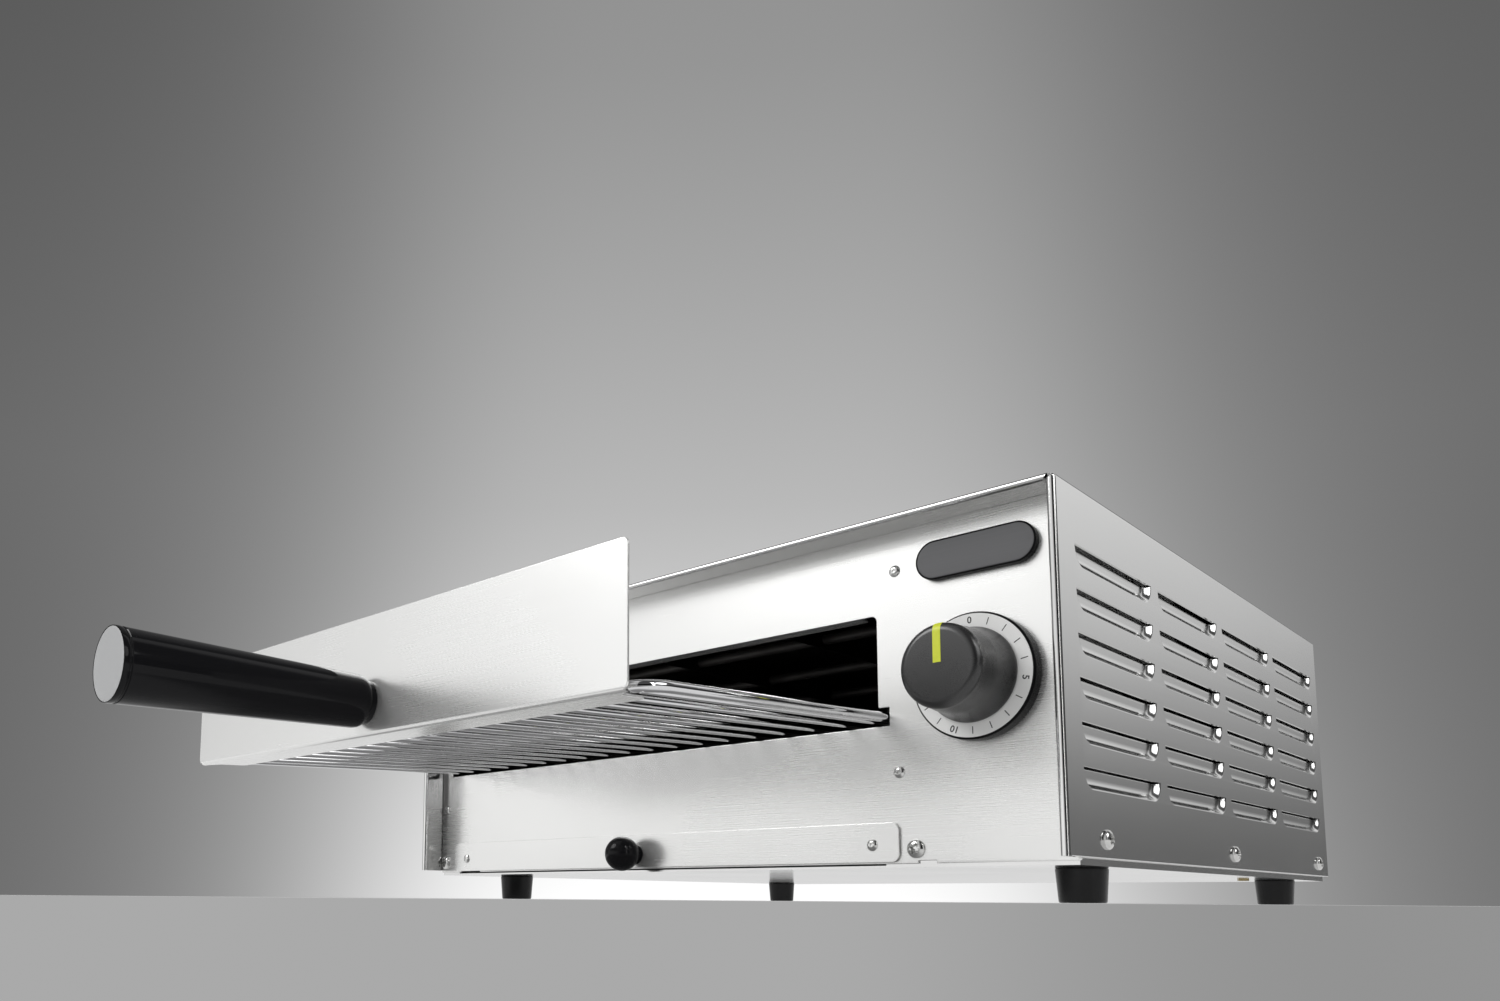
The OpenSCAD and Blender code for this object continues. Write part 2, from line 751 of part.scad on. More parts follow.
// Heating elements
module heater(z) {
    left = slot_x - chamber_half + heater_margin + bend_r;
    right = slot_x + chamber_half - heater_margin - bend_r;
    color("dimgray") translate([0, panel_back_y + heater_y, z]) {
        for (i = [0 : leg_count - 1]) {
            ends = i == 0 || i == leg_count - 1;
            translate([left, i * heater_pitch, 0]) rod_x(heater_d, (ends ? liner_right + 6 : right) - left);
        }
        for (i = [0 : leg_count - 2]) {
            if (i % 2 == 0) translate([left, (i + 0.5) * heater_pitch, 0]) bend(bend_r, heater_d, 90, 180);
            else translate([right, (i + 0.5) * heater_pitch, 0]) bend(bend_r, heater_d, -90, 180);
        }
    }
}

// Strips across the legs: hung from the chamber's top, or laid on its lower lips
module heater_strips(z_low, z_high, z) {
    color("gray") for (x = support_x) difference() {
        translate([slot_x + x, panel_back_y, z_low])
            cube([rail_t, chamber_d - liner_t, z_high - z_low]);
        for (i = [0 : leg_count - 1]) {
            translate([slot_x + x - 1, panel_back_y + heater_y + i * heater_pitch, z])
                rod_x(heater_d + 2 * hole_clear, rail_t + 2);
        }
    }
}

module element_bushes() {
    color("white") for (z = [upper_z, lower_z]) heater_leg_ends(z) difference() {
        rod_x(2 * bush_r, bush_l);
        translate([-1, 0, 0]) rod_x(heater_d + 2 * hole_clear, 7.2);
        translate([-1, 0, 0]) rod_x(2 * stud_r + 2 * hole_clear, bush_l + 2);
    }
}

module element_studs() {
    color("silver") for (z = [upper_z, lower_z]) heater_leg_ends(z) {
        translate([6, 0, 0]) rod_x(2 * stud_r, bush_l + 4);
        translate([bush_l, 0, 0]) rotate([0, 90, 0]) cylinder(r = nut_r - 0.5, h = 2.4, $fn = 6);
    }
}

// Timer
module at_timer_screws() {
    for (s = [-1, 1]) translate([timer_x + s * 14, panel_y, timer_z]) rotate([90, 0, 0]) children();
}

module timer_body() {
    color("darkgray") difference() {
        union() {
            translate([timer_x - timer_side / 2, panel_back_y, timer_z - timer_side / 2])
                cube([timer_side, timer_deep, timer_side]);
            translate([timer_x, panel_y - dial_t / 2, timer_z])
                rod_y(2 * (shaft_r + 1.6), dial_t / 2 + sheet_t);
            for (x = [-15, -5, 5, 15]) {
                translate([timer_x + x - 0.4, panel_back_y + timer_deep, timer_z - 3]) cube([0.8, 8, 6.3]);
            }
        }
        translate([timer_x, panel_y - dial_t, timer_z]) rod_y(2 * (shaft_r + shaft_clear), dial_t + 26);
        at_timer_screws() translate([0, 0, -14]) cylinder(r = screw_r + hole_clear, h = 16, $fn = round_fn);
    }
}

module timer_screws() {
    color("silver") at_timer_screws() translate([0, 0, 0.3]) cross_screw(3.6, 2, screw_r, 9);
}

module dial_base() {
    color("black") translate([timer_x, panel_y, timer_z]) rotate([90, 0, 0]) difference() {
        rotate_extrude($fn = ball_fn) polygon([
            [shaft_r + 2.2, 0], [dial_r, 0], [dial_r, dial_t - 0.6], [dial_r - 0.6, dial_t],
            [shaft_r + 2.2, dial_t],
        ]);
        for (s = [-1, 1]) translate([s * 14, 0, -1]) cylinder(r = 4.2, h = 4.5, $fn = round_fn);
    }
}

module dial_ring() {
    color("white") translate([timer_x, panel_y - dial_t, timer_z]) rotate([90, 0, 0]) difference() {
        cylinder(r = dial_r - dial_rim, h = ring_t, $fn = ball_fn);
        translate([0, 0, -1]) cylinder(r = knob_r - 3, h = 3, $fn = ball_fn);
    }
}

function knob_side() = [
    [knob_r, 0], [knob_r, 1.4], [knob_r - 0.5, 2.6], [knob_r - 1.2, 4.6], [knob_r - 1.8, 7.5],
    [knob_r - 2.2, 11.5], [(knob_r + knob_front_r) / 2 - 1, knob_l * 0.55],
    for (a = [0 : 15 : 90]) [
        knob_front_r - knob_round + knob_round * cos(a),
        knob_l - knob_round + knob_round * sin(a),
    ],
];

module at_knob() {
    translate([timer_x, panel_y - dial_t - ring_t - 0.5, timer_z]) rotate([90, 0, 0]) children();
}

module timer_knob() {
    color("dimgray") at_knob() difference() {
        rotate_extrude($fn = ball_fn) polygon(concat([[0, 0]], knob_side(), [[0, knob_l + 0.3]]));
        translate([0, 0, -1]) cylinder(r = shaft_r + thread_clear, h = knob_l * 0.6 + 1, $fn = round_fn);
    }
}

module knob_pointer() {
    skin = 0.25;
    color("yellow") at_knob() intersection() {
        difference() {
            rotate_extrude($fn = ball_fn) polygon(concat(
                [[0, 1]], [for (p = knob_side()) p + [skin, skin]], [[0, knob_l + 0.3 + skin]]));
            rotate_extrude($fn = ball_fn) polygon(concat([[0, 0]], knob_side(), [[0, knob_l + 0.3]]));
        }
        translate([-pointer_w / 2, 1, knob_l - knob_round - 1]) cube([pointer_w, knob_r, knob_round + 3]);
    }
}

module timer_shaft() {
    color("silver") translate([timer_x, panel_y - dial_t - ring_t - 0.5 - knob_l * 0.6, timer_z])
        rod_y(2 * shaft_r, knob_l * 0.6 + dial_t + 24);
}

// Badge
module badge_outline(inset) {
    translate([badge_x - badge_l / 2 + inset, badge_z - badge_h / 2 + inset])
        round_rect(badge_l - 2 * inset, badge_h - 2 * inset, badge_h / 2 - inset - hem_step);
}

module badge_rim() {
    color("black") {
        wall_xz(panel_y - badge_t, badge_t) difference() {
            badge_outline(0);
            badge_outline(badge_rim_w);
        }
        wall_xz(panel_y - 1, 1) badge_outline(badge_rim_w - 0.4);
    }
}

module badge_face() {
    color("gray") wall_xz(panel_y - badge_t + 1, badge_t - 2) badge_outline(badge_rim_w);
}

// Safety cut-out on the chamber's right wall
cutout_z = 118;
cutout_y = 200;

module at_cutout_screws() {
    for (s = [-1, 1]) {
        translate([liner_right + 1.5, panel_back_y + cutout_y + s * 12, cutout_z])
            rotate([0, 90, 0]) children();
    }
}

module thermal_cutout() {
    color("white") difference() {
        translate([liner_right, panel_back_y + cutout_y, cutout_z]) {
            rod_x(16, 9);
            translate([0, -16, -4]) cube([1.5, 32, 8]);
        }
        at_cutout_screws() translate([0, 0, -3]) cylinder(r = 1.5 + hole_clear, h = 6, $fn = round_fn);
    }
}

module cutout_screws() {
    color("silver") at_cutout_screws() cross_screw(2.8, 2, 1.5, 1.5);
}

// Terminal block and earth stud on the base pan
block_y = chamber_d - 36;
block_x = shield_x + shield_foot_w + 0.8 + block_w / 2;

module at_terminal_screws() {
    for (i = [-1 : 1]) {
        translate([block_x + i * block_pitch, panel_back_y + block_y, pan_top_z + block_h]) children();
    }
}

module terminal_block() {
    color("white") difference() {
        translate([block_x - block_w / 2, panel_back_y + block_y - block_d / 2, pan_top_z])
            cube([block_w, block_d, block_h]);
        at_terminal_screws() translate([0, 0, -9]) cylinder(r = 2.6, h = 10, $fn = round_fn);
        for (i = [-1 : 1]) {
            translate([block_x + i * block_pitch, panel_back_y + block_y - block_d / 2 - 1, pan_top_z + 7])
                rod_y(4, block_d + 2);
        }
    }
}

module terminal_screws() {
    color("gold") at_terminal_screws() translate([0, 0, -9]) cylinder(r = 2.5, h = 7, $fn = round_fn);
}

module at_earth() {
    translate([case_w / 2 - foot_in - 0.6, panel_back_y + block_y - 30, pan_top_z]) children();
}

module earth_stud() {
    color("gold") at_earth() translate([0, 0, -sheet_t - 1.5]) {
        cylinder(r = stud_r, h = 16, $fn = round_fn);
        cylinder(r = nut_r - 0.5, h = 1.5, $fn = 6);
    }
}

module earth_nut() {
    color("gold") at_earth() hex_nut(nut_h, stud_r + thread_clear);
}

// Mains gland in the rear panel
module at_gland() {
    translate([gland_x, rear_panel_y + sheet_t, gland_z]) rotate([-90, 0, 0]) children();
}

module mains_gland() {
    body = gland_out - sheet_t;
    color("black") at_gland() difference() {
        union() {
            translate([0, 0, -11]) cylinder(r = gland_r - 1, h = 12, $fn = round_fn);
            cylinder(r = gland_r + 3, h = 5, $fn = 6);
            translate([0, 0, 5]) cylinder(r = gland_r + 0.5, h = 1.5, $fn = round_fn);
            translate([0, 0, 6.5]) cylinder(r = gland_r + 2, h = 8, $fn = 12);
            translate([0, 0, 14.5])
                cylinder(r1 = gland_r + 1, r2 = gland_r - 2, h = body - 13.3, $fn = round_fn);
        }
        translate([0, 0, -12]) cylinder(r = gland_r - 4, h = gland_out + 20, $fn = round_fn);
    }
}

module gland_nut() {
    color("black") at_gland() translate([0, 0, -sheet_t - 5]) difference() {
        cylinder(r = gland_r + 3, h = 5, $fn = 6);
        translate([0, 0, -1]) cylinder(r = gland_r - 1 + thread_clear, h = 7, $fn = round_fn);
    }
}

// Rubber insert that closes the gland where no cord is fitted
module gland_seal() {
    color("darkgray") at_gland() translate([0, 0, 4])
        cylinder(r = gland_r - 4 - thread_clear, h = 10, $fn = round_fn);
}

// Fasteners of the case
module panel_rivets() {
    color("silver") at_panel_rivets() rivet(sheet_t + liner_t);
}

module panel_screws() {
    color("silver") at_panel_screws() cross_screw(screw_head_r, screw_head_h, screw_r, 2 * sheet_t + 3);
}

module at_side_screws(s) {
    for (y = side_screw_ys) {
        translate([s * case_w / 2, edge_y + y, side_screw_z]) rotate([0, s * 90, 0]) children();
    }
}

module side_screws(s) {
    color("silver") at_side_screws(s) cross_screw(screw_head_r, screw_head_h, screw_r, 3 * sheet_t + 3);
}

module rear_screws() {
    color("silver") at_rear_screws() cross_screw(screw_head_r, screw_head_h, screw_r, 2 * sheet_t + 3);
}

// Feet
module foot(sx, y) {
    color("black") translate([sx * (case_w / 2 - foot_in), y, 0]) difference() {
        rotate_extrude($fn = ball_fn) polygon([
            [0, 0], [foot_low_r - 0.8, 0], [foot_low_r, 0.8], [foot_top_r, pan_z - 1],
            [foot_top_r - 0.3, pan_z], [0, pan_z],
        ]);
        translate([0, 0, -1]) cylinder(r = foot_seat_r, h = foot_seat_h + 1, $fn = round_fn);
        translate([0, 0, -1]) cylinder(r = screw_r + hole_clear, h = pan_z + 2, $fn = round_fn);
    }
}

module foot_screws() {
    color("silver") at_feet() translate([0, 0, foot_seat_h]) mirror([0, 0, 1])
        cross_screw(foot_seat_r - 0.6, foot_head_h, screw_r, pan_top_z - foot_seat_h + nut_h + 1);
}

module foot_nuts() {
    color("silver") at_feet() translate([0, 0, pan_top_z]) hex_nut(nut_h, screw_r + thread_clear);
}

// Rack
module rack_plate() {
    front_half = plate_w / 2 - plate_r + 1;
    rear_half = plate_w / 2 - flange_clip;
    color("gainsboro") difference() {
        union() {
            wall_xz(plate_y, sheet_t)
                translate([slot_x - plate_w / 2, plate_z]) round_rect(plate_w, plate_h, plate_r);
            rack_run() translate([0, plate_s, -sheet_t]) linear_extrude(sheet_t) polygon([
                [-front_half, -sheet_t * 0.8], [front_half, -sheet_t * 0.8], [front_half, 0.5],
                [rear_half, 9], [rear_half, flange_d - 3], [rear_half - 3, flange_d],
                [3 - rear_half, flange_d], [-rear_half, flange_d - 3], [-rear_half, 9],
                [-front_half, 0.5],
            ]);
        }
        at_handle() shank_hole(bolt_r);
    }
}

module wire_rack() {
    side_len = loop_rear_s - loop_front_s - 2 * loop_r;
    across = 2 * loop_half - 2 * loop_r;
    color("silver") rack_run() {
        translate([0, 0, loop_up]) {
            for (x = [-loop_half, loop_half]) {
                translate([x, loop_front_s + loop_r, 0]) rod_y(loop_d, side_len);
            }
            for (s = [loop_front_s, loop_rear_s]) translate([-across / 2, s, 0]) rod_x(loop_d, across);
            translate([across / 2, loop_rear_s - loop_r, 0]) bend(loop_r, loop_d, 0);
            translate([-across / 2, loop_rear_s - loop_r, 0]) bend(loop_r, loop_d, 90);
            translate([-across / 2, loop_front_s + loop_r, 0]) bend(loop_r, loop_d, 180);
            translate([across / 2, loop_front_s + loop_r, 0]) bend(loop_r, loop_d, 270);
        }
        for (i = [-rods_each_side : rods_each_side]) {
            translate([i * rod_pitch, loop_front_s, rod_d / 2]) rod_y(rod_d, loop_rear_s - loop_front_s);
        }
        for (x = [-side_rod_x, side_rod_x]) {
            translate([x, loop_front_s + 3, rod_d / 2]) rod_y(rod_d, loop_rear_s - loop_front_s - 6);
        }
    }
}

// Handle
module at_handle() {
    translate([slot_x, plate_y, grip_z]) rotate([90, 0, 0]) children();
}

module handle_grip() {
    body = grip_l - collar_t;
    groove = body - 4;
    slope = (grip_end_r - grip_root_r) / body;
    color("black") at_handle() translate([0, 0, collar_t]) difference() {
        rotate_extrude($fn = ball_fn) polygon([
            [0, 0], [collar_r, 0], [grip_root_r - 0.9, 1], [grip_root_r - 0.2, 2.4],
            [grip_root_r + slope * 5, 5], [grip_root_r + slope * groove, groove],
            [grip_root_r + slope * groove - 0.5, groove + 0.4],
            [grip_root_r + slope * groove - 0.5, groove + 1],
            [grip_root_r + slope * (groove + 1.4), groove + 1.4],
            [grip_end_r, body - 0.6], [grip_end_r - 0.6, body], [0, body],
        ]);
        translate([0, 0, -1]) cylinder(r = bolt_r + thread_clear, h = bolt_in + 2, $fn = round_fn);
        translate([0, 0, body - cap_t]) cylinder(r = grip_end_r - cap_rim, h = cap_t + 1, $fn = ball_fn);
    }
}

module handle_cap() {
    color("lightgray") at_handle() translate([0, 0, grip_l - cap_t])
        cylinder(r = grip_end_r - cap_rim, h = cap_t - 0.2, $fn = ball_fn);
}

module handle_collar() {
    color("black") at_handle() difference() {
        cylinder(r = collar_r, h = collar_t, $fn = round_fn);
        translate([0, 0, -1]) cylinder(r = bolt_r + hole_clear, h = collar_t + 2, $fn = round_fn);
    }
}

module handle_washer() {
    color("silver") at_handle() translate([0, 0, -sheet_t - washer_t]) difference() {
        cylinder(r = washer_r, h = washer_t, $fn = round_fn);
        translate([0, 0, -1]) cylinder(r = bolt_r + hole_clear, h = washer_t + 2, $fn = round_fn);
    }
}

module handle_bolt() {
    seat = -sheet_t - washer_t;
    color("silver") at_handle() {
        translate([0, 0, seat - bolt_head_h]) cylinder(r = bolt_head_r, h = bolt_head_h, $fn = 6);
        translate([0, 0, seat]) cylinder(r = bolt_r, h = bolt_in - seat, $fn = round_fn);
    }
}

// Crumb tray
tray_wall_y = panel_y - sheet_gap;

module tray_pan() {
    color("silver") translate([tray_x, tray_wall_y + tray_t, tray_z]) difference() {
        translate([-tray_w / 2, 0, 0]) cube([tray_w, tray_d - tray_t, tray_h]);
        translate([tray_t - tray_w / 2, -1, tray_t])
            cube([tray_w - 2 * tray_t, tray_d - 2 * tray_t + 1, tray_h]);
    }
}

module tray_front_wall() {
    color("silver") difference() {
        translate([tray_x - tray_w / 2 - tray_ear, tray_wall_y, tray_z])
            cube([tray_w + 2 * tray_ear, tray_t, tray_h]);
        at_tray_rivets() shank_hole(rivet_r);
        at_tray_knob() shank_hole(screw_r);
    }
}

tray_plate_y = tray_wall_y - sheet_t;
tray_plate_z = tray_z + tray_h / 2 + 1.15 - tray_front_h / 2;

// The left rivet sits inside the pan's side wall, the right one in the ear outside it
module at_tray_rivets() {
    inner = tray_w / 2 - tray_t - rivet_r * 1.2 - tray_rivet_clear;
    for (x = [-inner, tray_w / 2 + tray_ear - tray_rivet_in]) {
        translate([tray_x + x, tray_plate_y, tray_z + tray_h / 2]) rotate([90, 0, 0]) children();
    }
}

module at_tray_knob() {
    translate([tray_x + tray_front_x, tray_plate_y, tray_z + tray_h / 2 - 0.9])
        rotate([90, 0, 0]) children();
}

module tray_front() {
    color("gainsboro") difference() {
        wall_xz(tray_plate_y, sheet_t)
            translate([tray_x + tray_front_x - tray_front_w / 2, tray_plate_z])
            round_rect(tray_front_w, tray_front_h, tray_front_r);
        at_tray_rivets() shank_hole(rivet_r);
        at_tray_knob() shank_hole(screw_r);
    }
}

module tray_rivets() {
    color("silver") at_tray_rivets() rivet(sheet_t + tray_t);
}

module tray_knob() {
    neck_r = ball_d * 0.24;
    color("black") at_tray_knob() difference() {
        union() {
            translate([0, 0, ball_out]) sphere(d = ball_d, $fn = ball_fn);
            cylinder(r = neck_r, h = ball_out, $fn = round_fn);
            cylinder(r = neck_r + 1.2, h = 1.2, $fn = round_fn);
        }
        translate([0, 0, -1]) cylinder(r = screw_r + thread_clear, h = ball_out + 1, $fn = round_fn);
    }
}

module tray_knob_screw() {
    color("silver") at_tray_knob() translate([0, 0, -sheet_t - tray_t]) mirror([0, 0, 1])
        cross_screw(3.6, 2, screw_r, ball_out + sheet_t + tray_t - 2);
}

outer_cover();
front_panel();
base_pan();
rear_panel();
cooking_chamber();
rack_guide(-1);  // rack_guide_left
rack_guide(1);  // rack_guide_right
tray_runner(-1);  // tray_runner_left
tray_runner(1);  // tray_runner_right
heat_shield();
heater(upper_z);  // upper_element
heater(lower_z);  // lower_element
heater_strips(upper_z - 6, chamber_top, upper_z);  // upper_element_supports
heater_strips(chamber_low_z, lower_z + 6, lower_z);  // lower_element_supports
element_bushes();
element_studs();
timer_body();
timer_screws();
dial_base();
dial_ring();
badge_rim();
badge_face();
thermal_cutout();
cutout_screws();
terminal_block();
terminal_screws();
earth_stud();
earth_nut();
mains_gland();
gland_nut();
gland_seal();
panel_rivets();
panel_screws();
side_screws(-1);  // side_screws_left
side_screws(1);  // side_screws_right
rear_screws();
shield_screws();
foot(-1, edge_y + foot_front);  // foot_front_left
foot(1, edge_y + foot_front);  // foot_front_right
foot(-1, rear_y - foot_rear);  // foot_rear_left
foot(1, rear_y - foot_rear);  // foot_rear_right
foot_screws();
foot_nuts();
rack_plate();
wire_rack();
handle_grip();
handle_cap();
handle_collar();
handle_bolt();
handle_washer();
tray_pan();
tray_front_wall();
tray_front();
tray_rivets();
tray_knob();
tray_knob_screw();
timer_knob();
knob_pointer();
timer_shaft();
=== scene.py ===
import math

import bmesh
import bpy
from bpy.props import FloatProperty, FloatVectorProperty, PointerProperty
from mathutils import Matrix, Vector
from mathutils.geometry import tessellate_polygon


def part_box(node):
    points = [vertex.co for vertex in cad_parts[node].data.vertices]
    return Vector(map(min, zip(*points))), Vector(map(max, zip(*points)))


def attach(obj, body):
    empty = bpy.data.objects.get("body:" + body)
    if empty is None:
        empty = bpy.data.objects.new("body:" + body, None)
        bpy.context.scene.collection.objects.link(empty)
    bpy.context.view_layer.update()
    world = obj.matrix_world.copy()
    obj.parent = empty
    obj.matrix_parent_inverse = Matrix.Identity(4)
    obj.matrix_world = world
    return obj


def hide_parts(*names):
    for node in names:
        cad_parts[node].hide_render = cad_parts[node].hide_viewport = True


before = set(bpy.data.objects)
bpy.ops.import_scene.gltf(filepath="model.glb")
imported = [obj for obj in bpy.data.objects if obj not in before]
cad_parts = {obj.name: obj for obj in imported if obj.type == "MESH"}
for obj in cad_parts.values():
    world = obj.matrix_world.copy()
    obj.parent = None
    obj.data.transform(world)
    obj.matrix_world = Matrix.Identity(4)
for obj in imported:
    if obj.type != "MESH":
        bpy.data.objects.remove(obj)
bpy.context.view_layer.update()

bl_info = {
    "name": "Pizza oven pieces",
    "version": (1, 0, 0),
    "blender": (4, 5, 0),
    "location": "View3D > Sidebar > Oven",
    "description": "Builds the visible pieces of a countertop pizza oven around its packed solids",
    "category": "Add Mesh",
}

MM = 0.001


def cad_box(node):
    """Lowest and highest corner of a CAD node, in millimetres."""
    low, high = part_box(node)
    return low / MM, high / MM


COVER_LOW, COVER_HIGH = cad_box("outer_cover")
PANEL_LOW, PANEL_HIGH = cad_box("front_panel")
PLATE_LOW, PLATE_HIGH = cad_box("rack_plate")
GRIP_LOW, GRIP_HIGH = cad_box("handle_grip")
RACK_LOW, RACK_HIGH = cad_box("wire_rack")
DIAL_LOW, DIAL_HIGH = cad_box("dial_base")
KNOB_LOW, KNOB_HIGH = cad_box("timer_knob")
BADGE_LOW, BADGE_HIGH = cad_box("badge_rim")
TRAY_LOW, TRAY_HIGH = cad_box("tray_front")
BALL_LOW, BALL_HIGH = cad_box("tray_knob")
EDGE_Y = COVER_LOW.y
PANEL_Y = PANEL_LOW.y
SLOT_X = (PLATE_LOW.x + PLATE_HIGH.x) / 2
GRIP_Z = (GRIP_LOW.z + GRIP_HIGH.z) / 2
TIMER_X = (DIAL_LOW.x + DIAL_HIGH.x) / 2
TIMER_Z = (DIAL_LOW.z + DIAL_HIGH.z) / 2


# Sizes and colours that a user would change


def length(name, description, mm):
    return FloatProperty(name=name, description=description, default=mm * MM, unit="LENGTH", precision=5)


def tint(name, description, *rgb):
    return FloatVectorProperty(name=name, description=description, default=rgb, size=3, subtype="COLOR", min=0, max=1)


class OvenSizes(bpy.types.PropertyGroup):
    """Sizes of the visible pieces, in metres."""

    sheet: length("Sheet", "Thickness of the folded sheet", 1.2)
    cover_bend: length("Cover bend", "Outer radius of the cover's bends", 2.6)
    hem_depth: length("Front hem", "Depth of the open hem along the cover's front edges", 15.5)
    hem_gap: length("Hem gap", "Gap inside that hem at the sides", 2)
    top_hem_gap: length("Top hem gap", "Gap inside the top's hem, which reaches back to the front panel", 1)
    louvre_length: length("Louvre length", "Length of one louvre", 102.2)
    louvre_height: length("Louvre height", "Height of one louvre, and radius of its lower corners", 10.6)
    louvre_depth: length("Louvre depth", "How far a louvre is pressed inwards", 3.1)
    louvre_slit: length("Louvre slit", "Open slit above the pressed part", 0.7)
    louvre_first: length("First louvre", "Distance from the cover's front edge to the first louvre", 20.7)
    louvre_low: length("Lowest louvre", "Height of the lowest louvre's slit", 63.1)
    louvre_across: length("Column spacing", "Spacing of the louvre columns", 112)
    louvre_up: length("Row spacing", "Spacing of the louvre rows", 21.2)
    slot_width: length("Slot width", "Width of the slot for the rack", 358.5)
    slot_height: length("Slot height", "Height of the slot", 60)
    slot_low: length("Slot height above table", "Height of the slot's lower edge", 92)
    rod: length("Rod diameter", "Diameter of the rack's rods", 3.2)
    frame_rod: length("Frame rod diameter", "Diameter of the rack's looped frame rod", 5.5)
    rod_pitch: length("Rod spacing", "Spacing of the rack's rods", 20)
    grip_root: length("Grip root radius", "Radius of the handle beside the plate", 13.8)
    grip_end: length("Grip end radius", "Radius of the handle at its free end", 17.3)
    dial: length("Dial radius", "Radius of the black dial base", 31.8)
    knob_base: length("Knob base radius", "Radius of the timer knob at the dial", 23.7)
    knob_front: length("Knob front radius", "Radius of the timer knob at its front", 20.6)
    pointer: length("Pointer width", "Width of the coloured pointer", 4)
    ball: length("Ball diameter", "Diameter of the crumb tray's ball knob", 21.6)
    screw_head: length("Screw head radius", "Radius of a panel or cover screw's head", 4.8)


class OvenColours(bpy.types.PropertyGroup):
    """Colours of the finishes."""

    steel: tint("Cover steel", "Stainless steel of cover, back and tray", 0.66, 0.66, 0.655)
    # Front steel and plate steel are lighter than the cover's steel: partly a paler brushed finish, partly painted
    # light for the front, which is lit more brightly than the sides.
    panel: tint("Front steel", "Stainless steel of the front panel", 0.83, 0.83, 0.82)
    plate: tint("Plate steel", "Stainless steel of the rack's plate", 0.88, 0.88, 0.87)
    liner: tint("Liner steel", "Steel of the cooking chamber", 0.035, 0.034, 0.033)
    heater: tint("Heater sheath", "Sheath of the heating elements", 0.04, 0.038, 0.036)
    chrome: tint("Chromed wire", "Chromed wire of the rack", 0.72, 0.72, 0.73)
    zinc: tint("Zinc", "Plated screws, nuts and rivets", 0.62, 0.62, 0.61)
    brass: tint("Brass", "Brass terminals and studs", 0.36, 0.29, 0.15)
    rubber: tint("Rubber", "Rubber of feet and gland", 0.008, 0.008, 0.0085)
    gloss_black: tint("Gloss black", "Moulded gloss black of handle and ball", 0.008, 0.008, 0.009)
    cap: tint("Cap grey", "Light grey cap in the handle's end", 0.46, 0.465, 0.47)
    knob: tint("Knob grey", "Satin dark grey of the timer knob", 0.015, 0.015, 0.0155)
    pointer: tint("Pointer", "Yellow-green pointer of the knob", 0.66, 0.72, 0.035)
    dial: tint("Dial black", "Black dial base and printed marks", 0.005, 0.005, 0.0055)
    scale: tint("Scale white", "White scale ring", 0.88, 0.88, 0.87)
    badge: tint("Badge face", "Dark face of the badge", 0.085, 0.085, 0.09)
    ceramic: tint("Ceramic", "Ceramic and terminal blocks", 0.74, 0.72, 0.68)
    floor: tint("Floor", "Pale studio floor", 0.72, 0.72, 0.72)


def sizes():
    return bpy.context.scene.oven_sizes


def colours():
    return bpy.context.scene.oven_colours


def mm(value):
    """A size in metres as millimetres."""
    return value / MM


# Geometry, drawn in millimetres


def facing(origin, normal, up=(0, 0, 1)):
    """Placement whose Z is normal, whose Y is up, and whose X runs to the right of one who looks at it."""
    z, y = Vector(normal).normalized(), Vector(up).normalized()
    x = y.cross(z).normalized()
    y = z.cross(x)
    place = Matrix((x, y, z)).transposed().to_4x4()
    place.translation = Vector(origin)
    return place


def front(y):
    """Placement on a wall that faces the front: X across, Y up, Z out of the wall."""
    return facing((0, y, 0), (0, -1, 0))


def arc(cx, cy, radius, start, end, steps):
    """Points on an arc, angles in degrees."""
    return [
        (cx + radius * math.cos(a), cy + radius * math.sin(a))
        for a in (math.radians(start + (end - start) * i / steps) for i in range(steps + 1))
    ]


def round_rect(x0, y0, x1, y1, r, steps=6):
    """Outline of a rectangle with round corners, counter-clockwise."""
    return (
        arc(x1 - r, y0 + r, r, -90, 0, steps)
        + arc(x1 - r, y1 - r, r, 0, 90, steps)
        + arc(x0 + r, y1 - r, r, 90, 180, steps)
        + arc(x0 + r, y0 + r, r, 180, 270, steps)
    )


def circle(cx, cy, radius, steps=32):
    return arc(cx, cy, radius, 0, 360, steps)[:-1]


def inset(outline, distance):
    """The outline moved to its left by distance, corners mitred: inwards for a counter-clockwise one."""
    moved, count = [], len(outline)
    for i, point in enumerate(outline):
        p = Vector(point[:2])
        before = (p - Vector(outline[i - 1][:2])).normalized()
        after = (Vector(outline[(i + 1) % count][:2]) - p).normalized()
        across = Vector((-before.y - after.y, before.x + after.x))
        if across.length < 1e-6:
            across = Vector((-after.y, after.x))
        across.normalize()
        stretch = max(0.5, across.dot(Vector((-after.y, after.x))))
        moved.append(tuple(p + across * distance / stretch))
    return moved


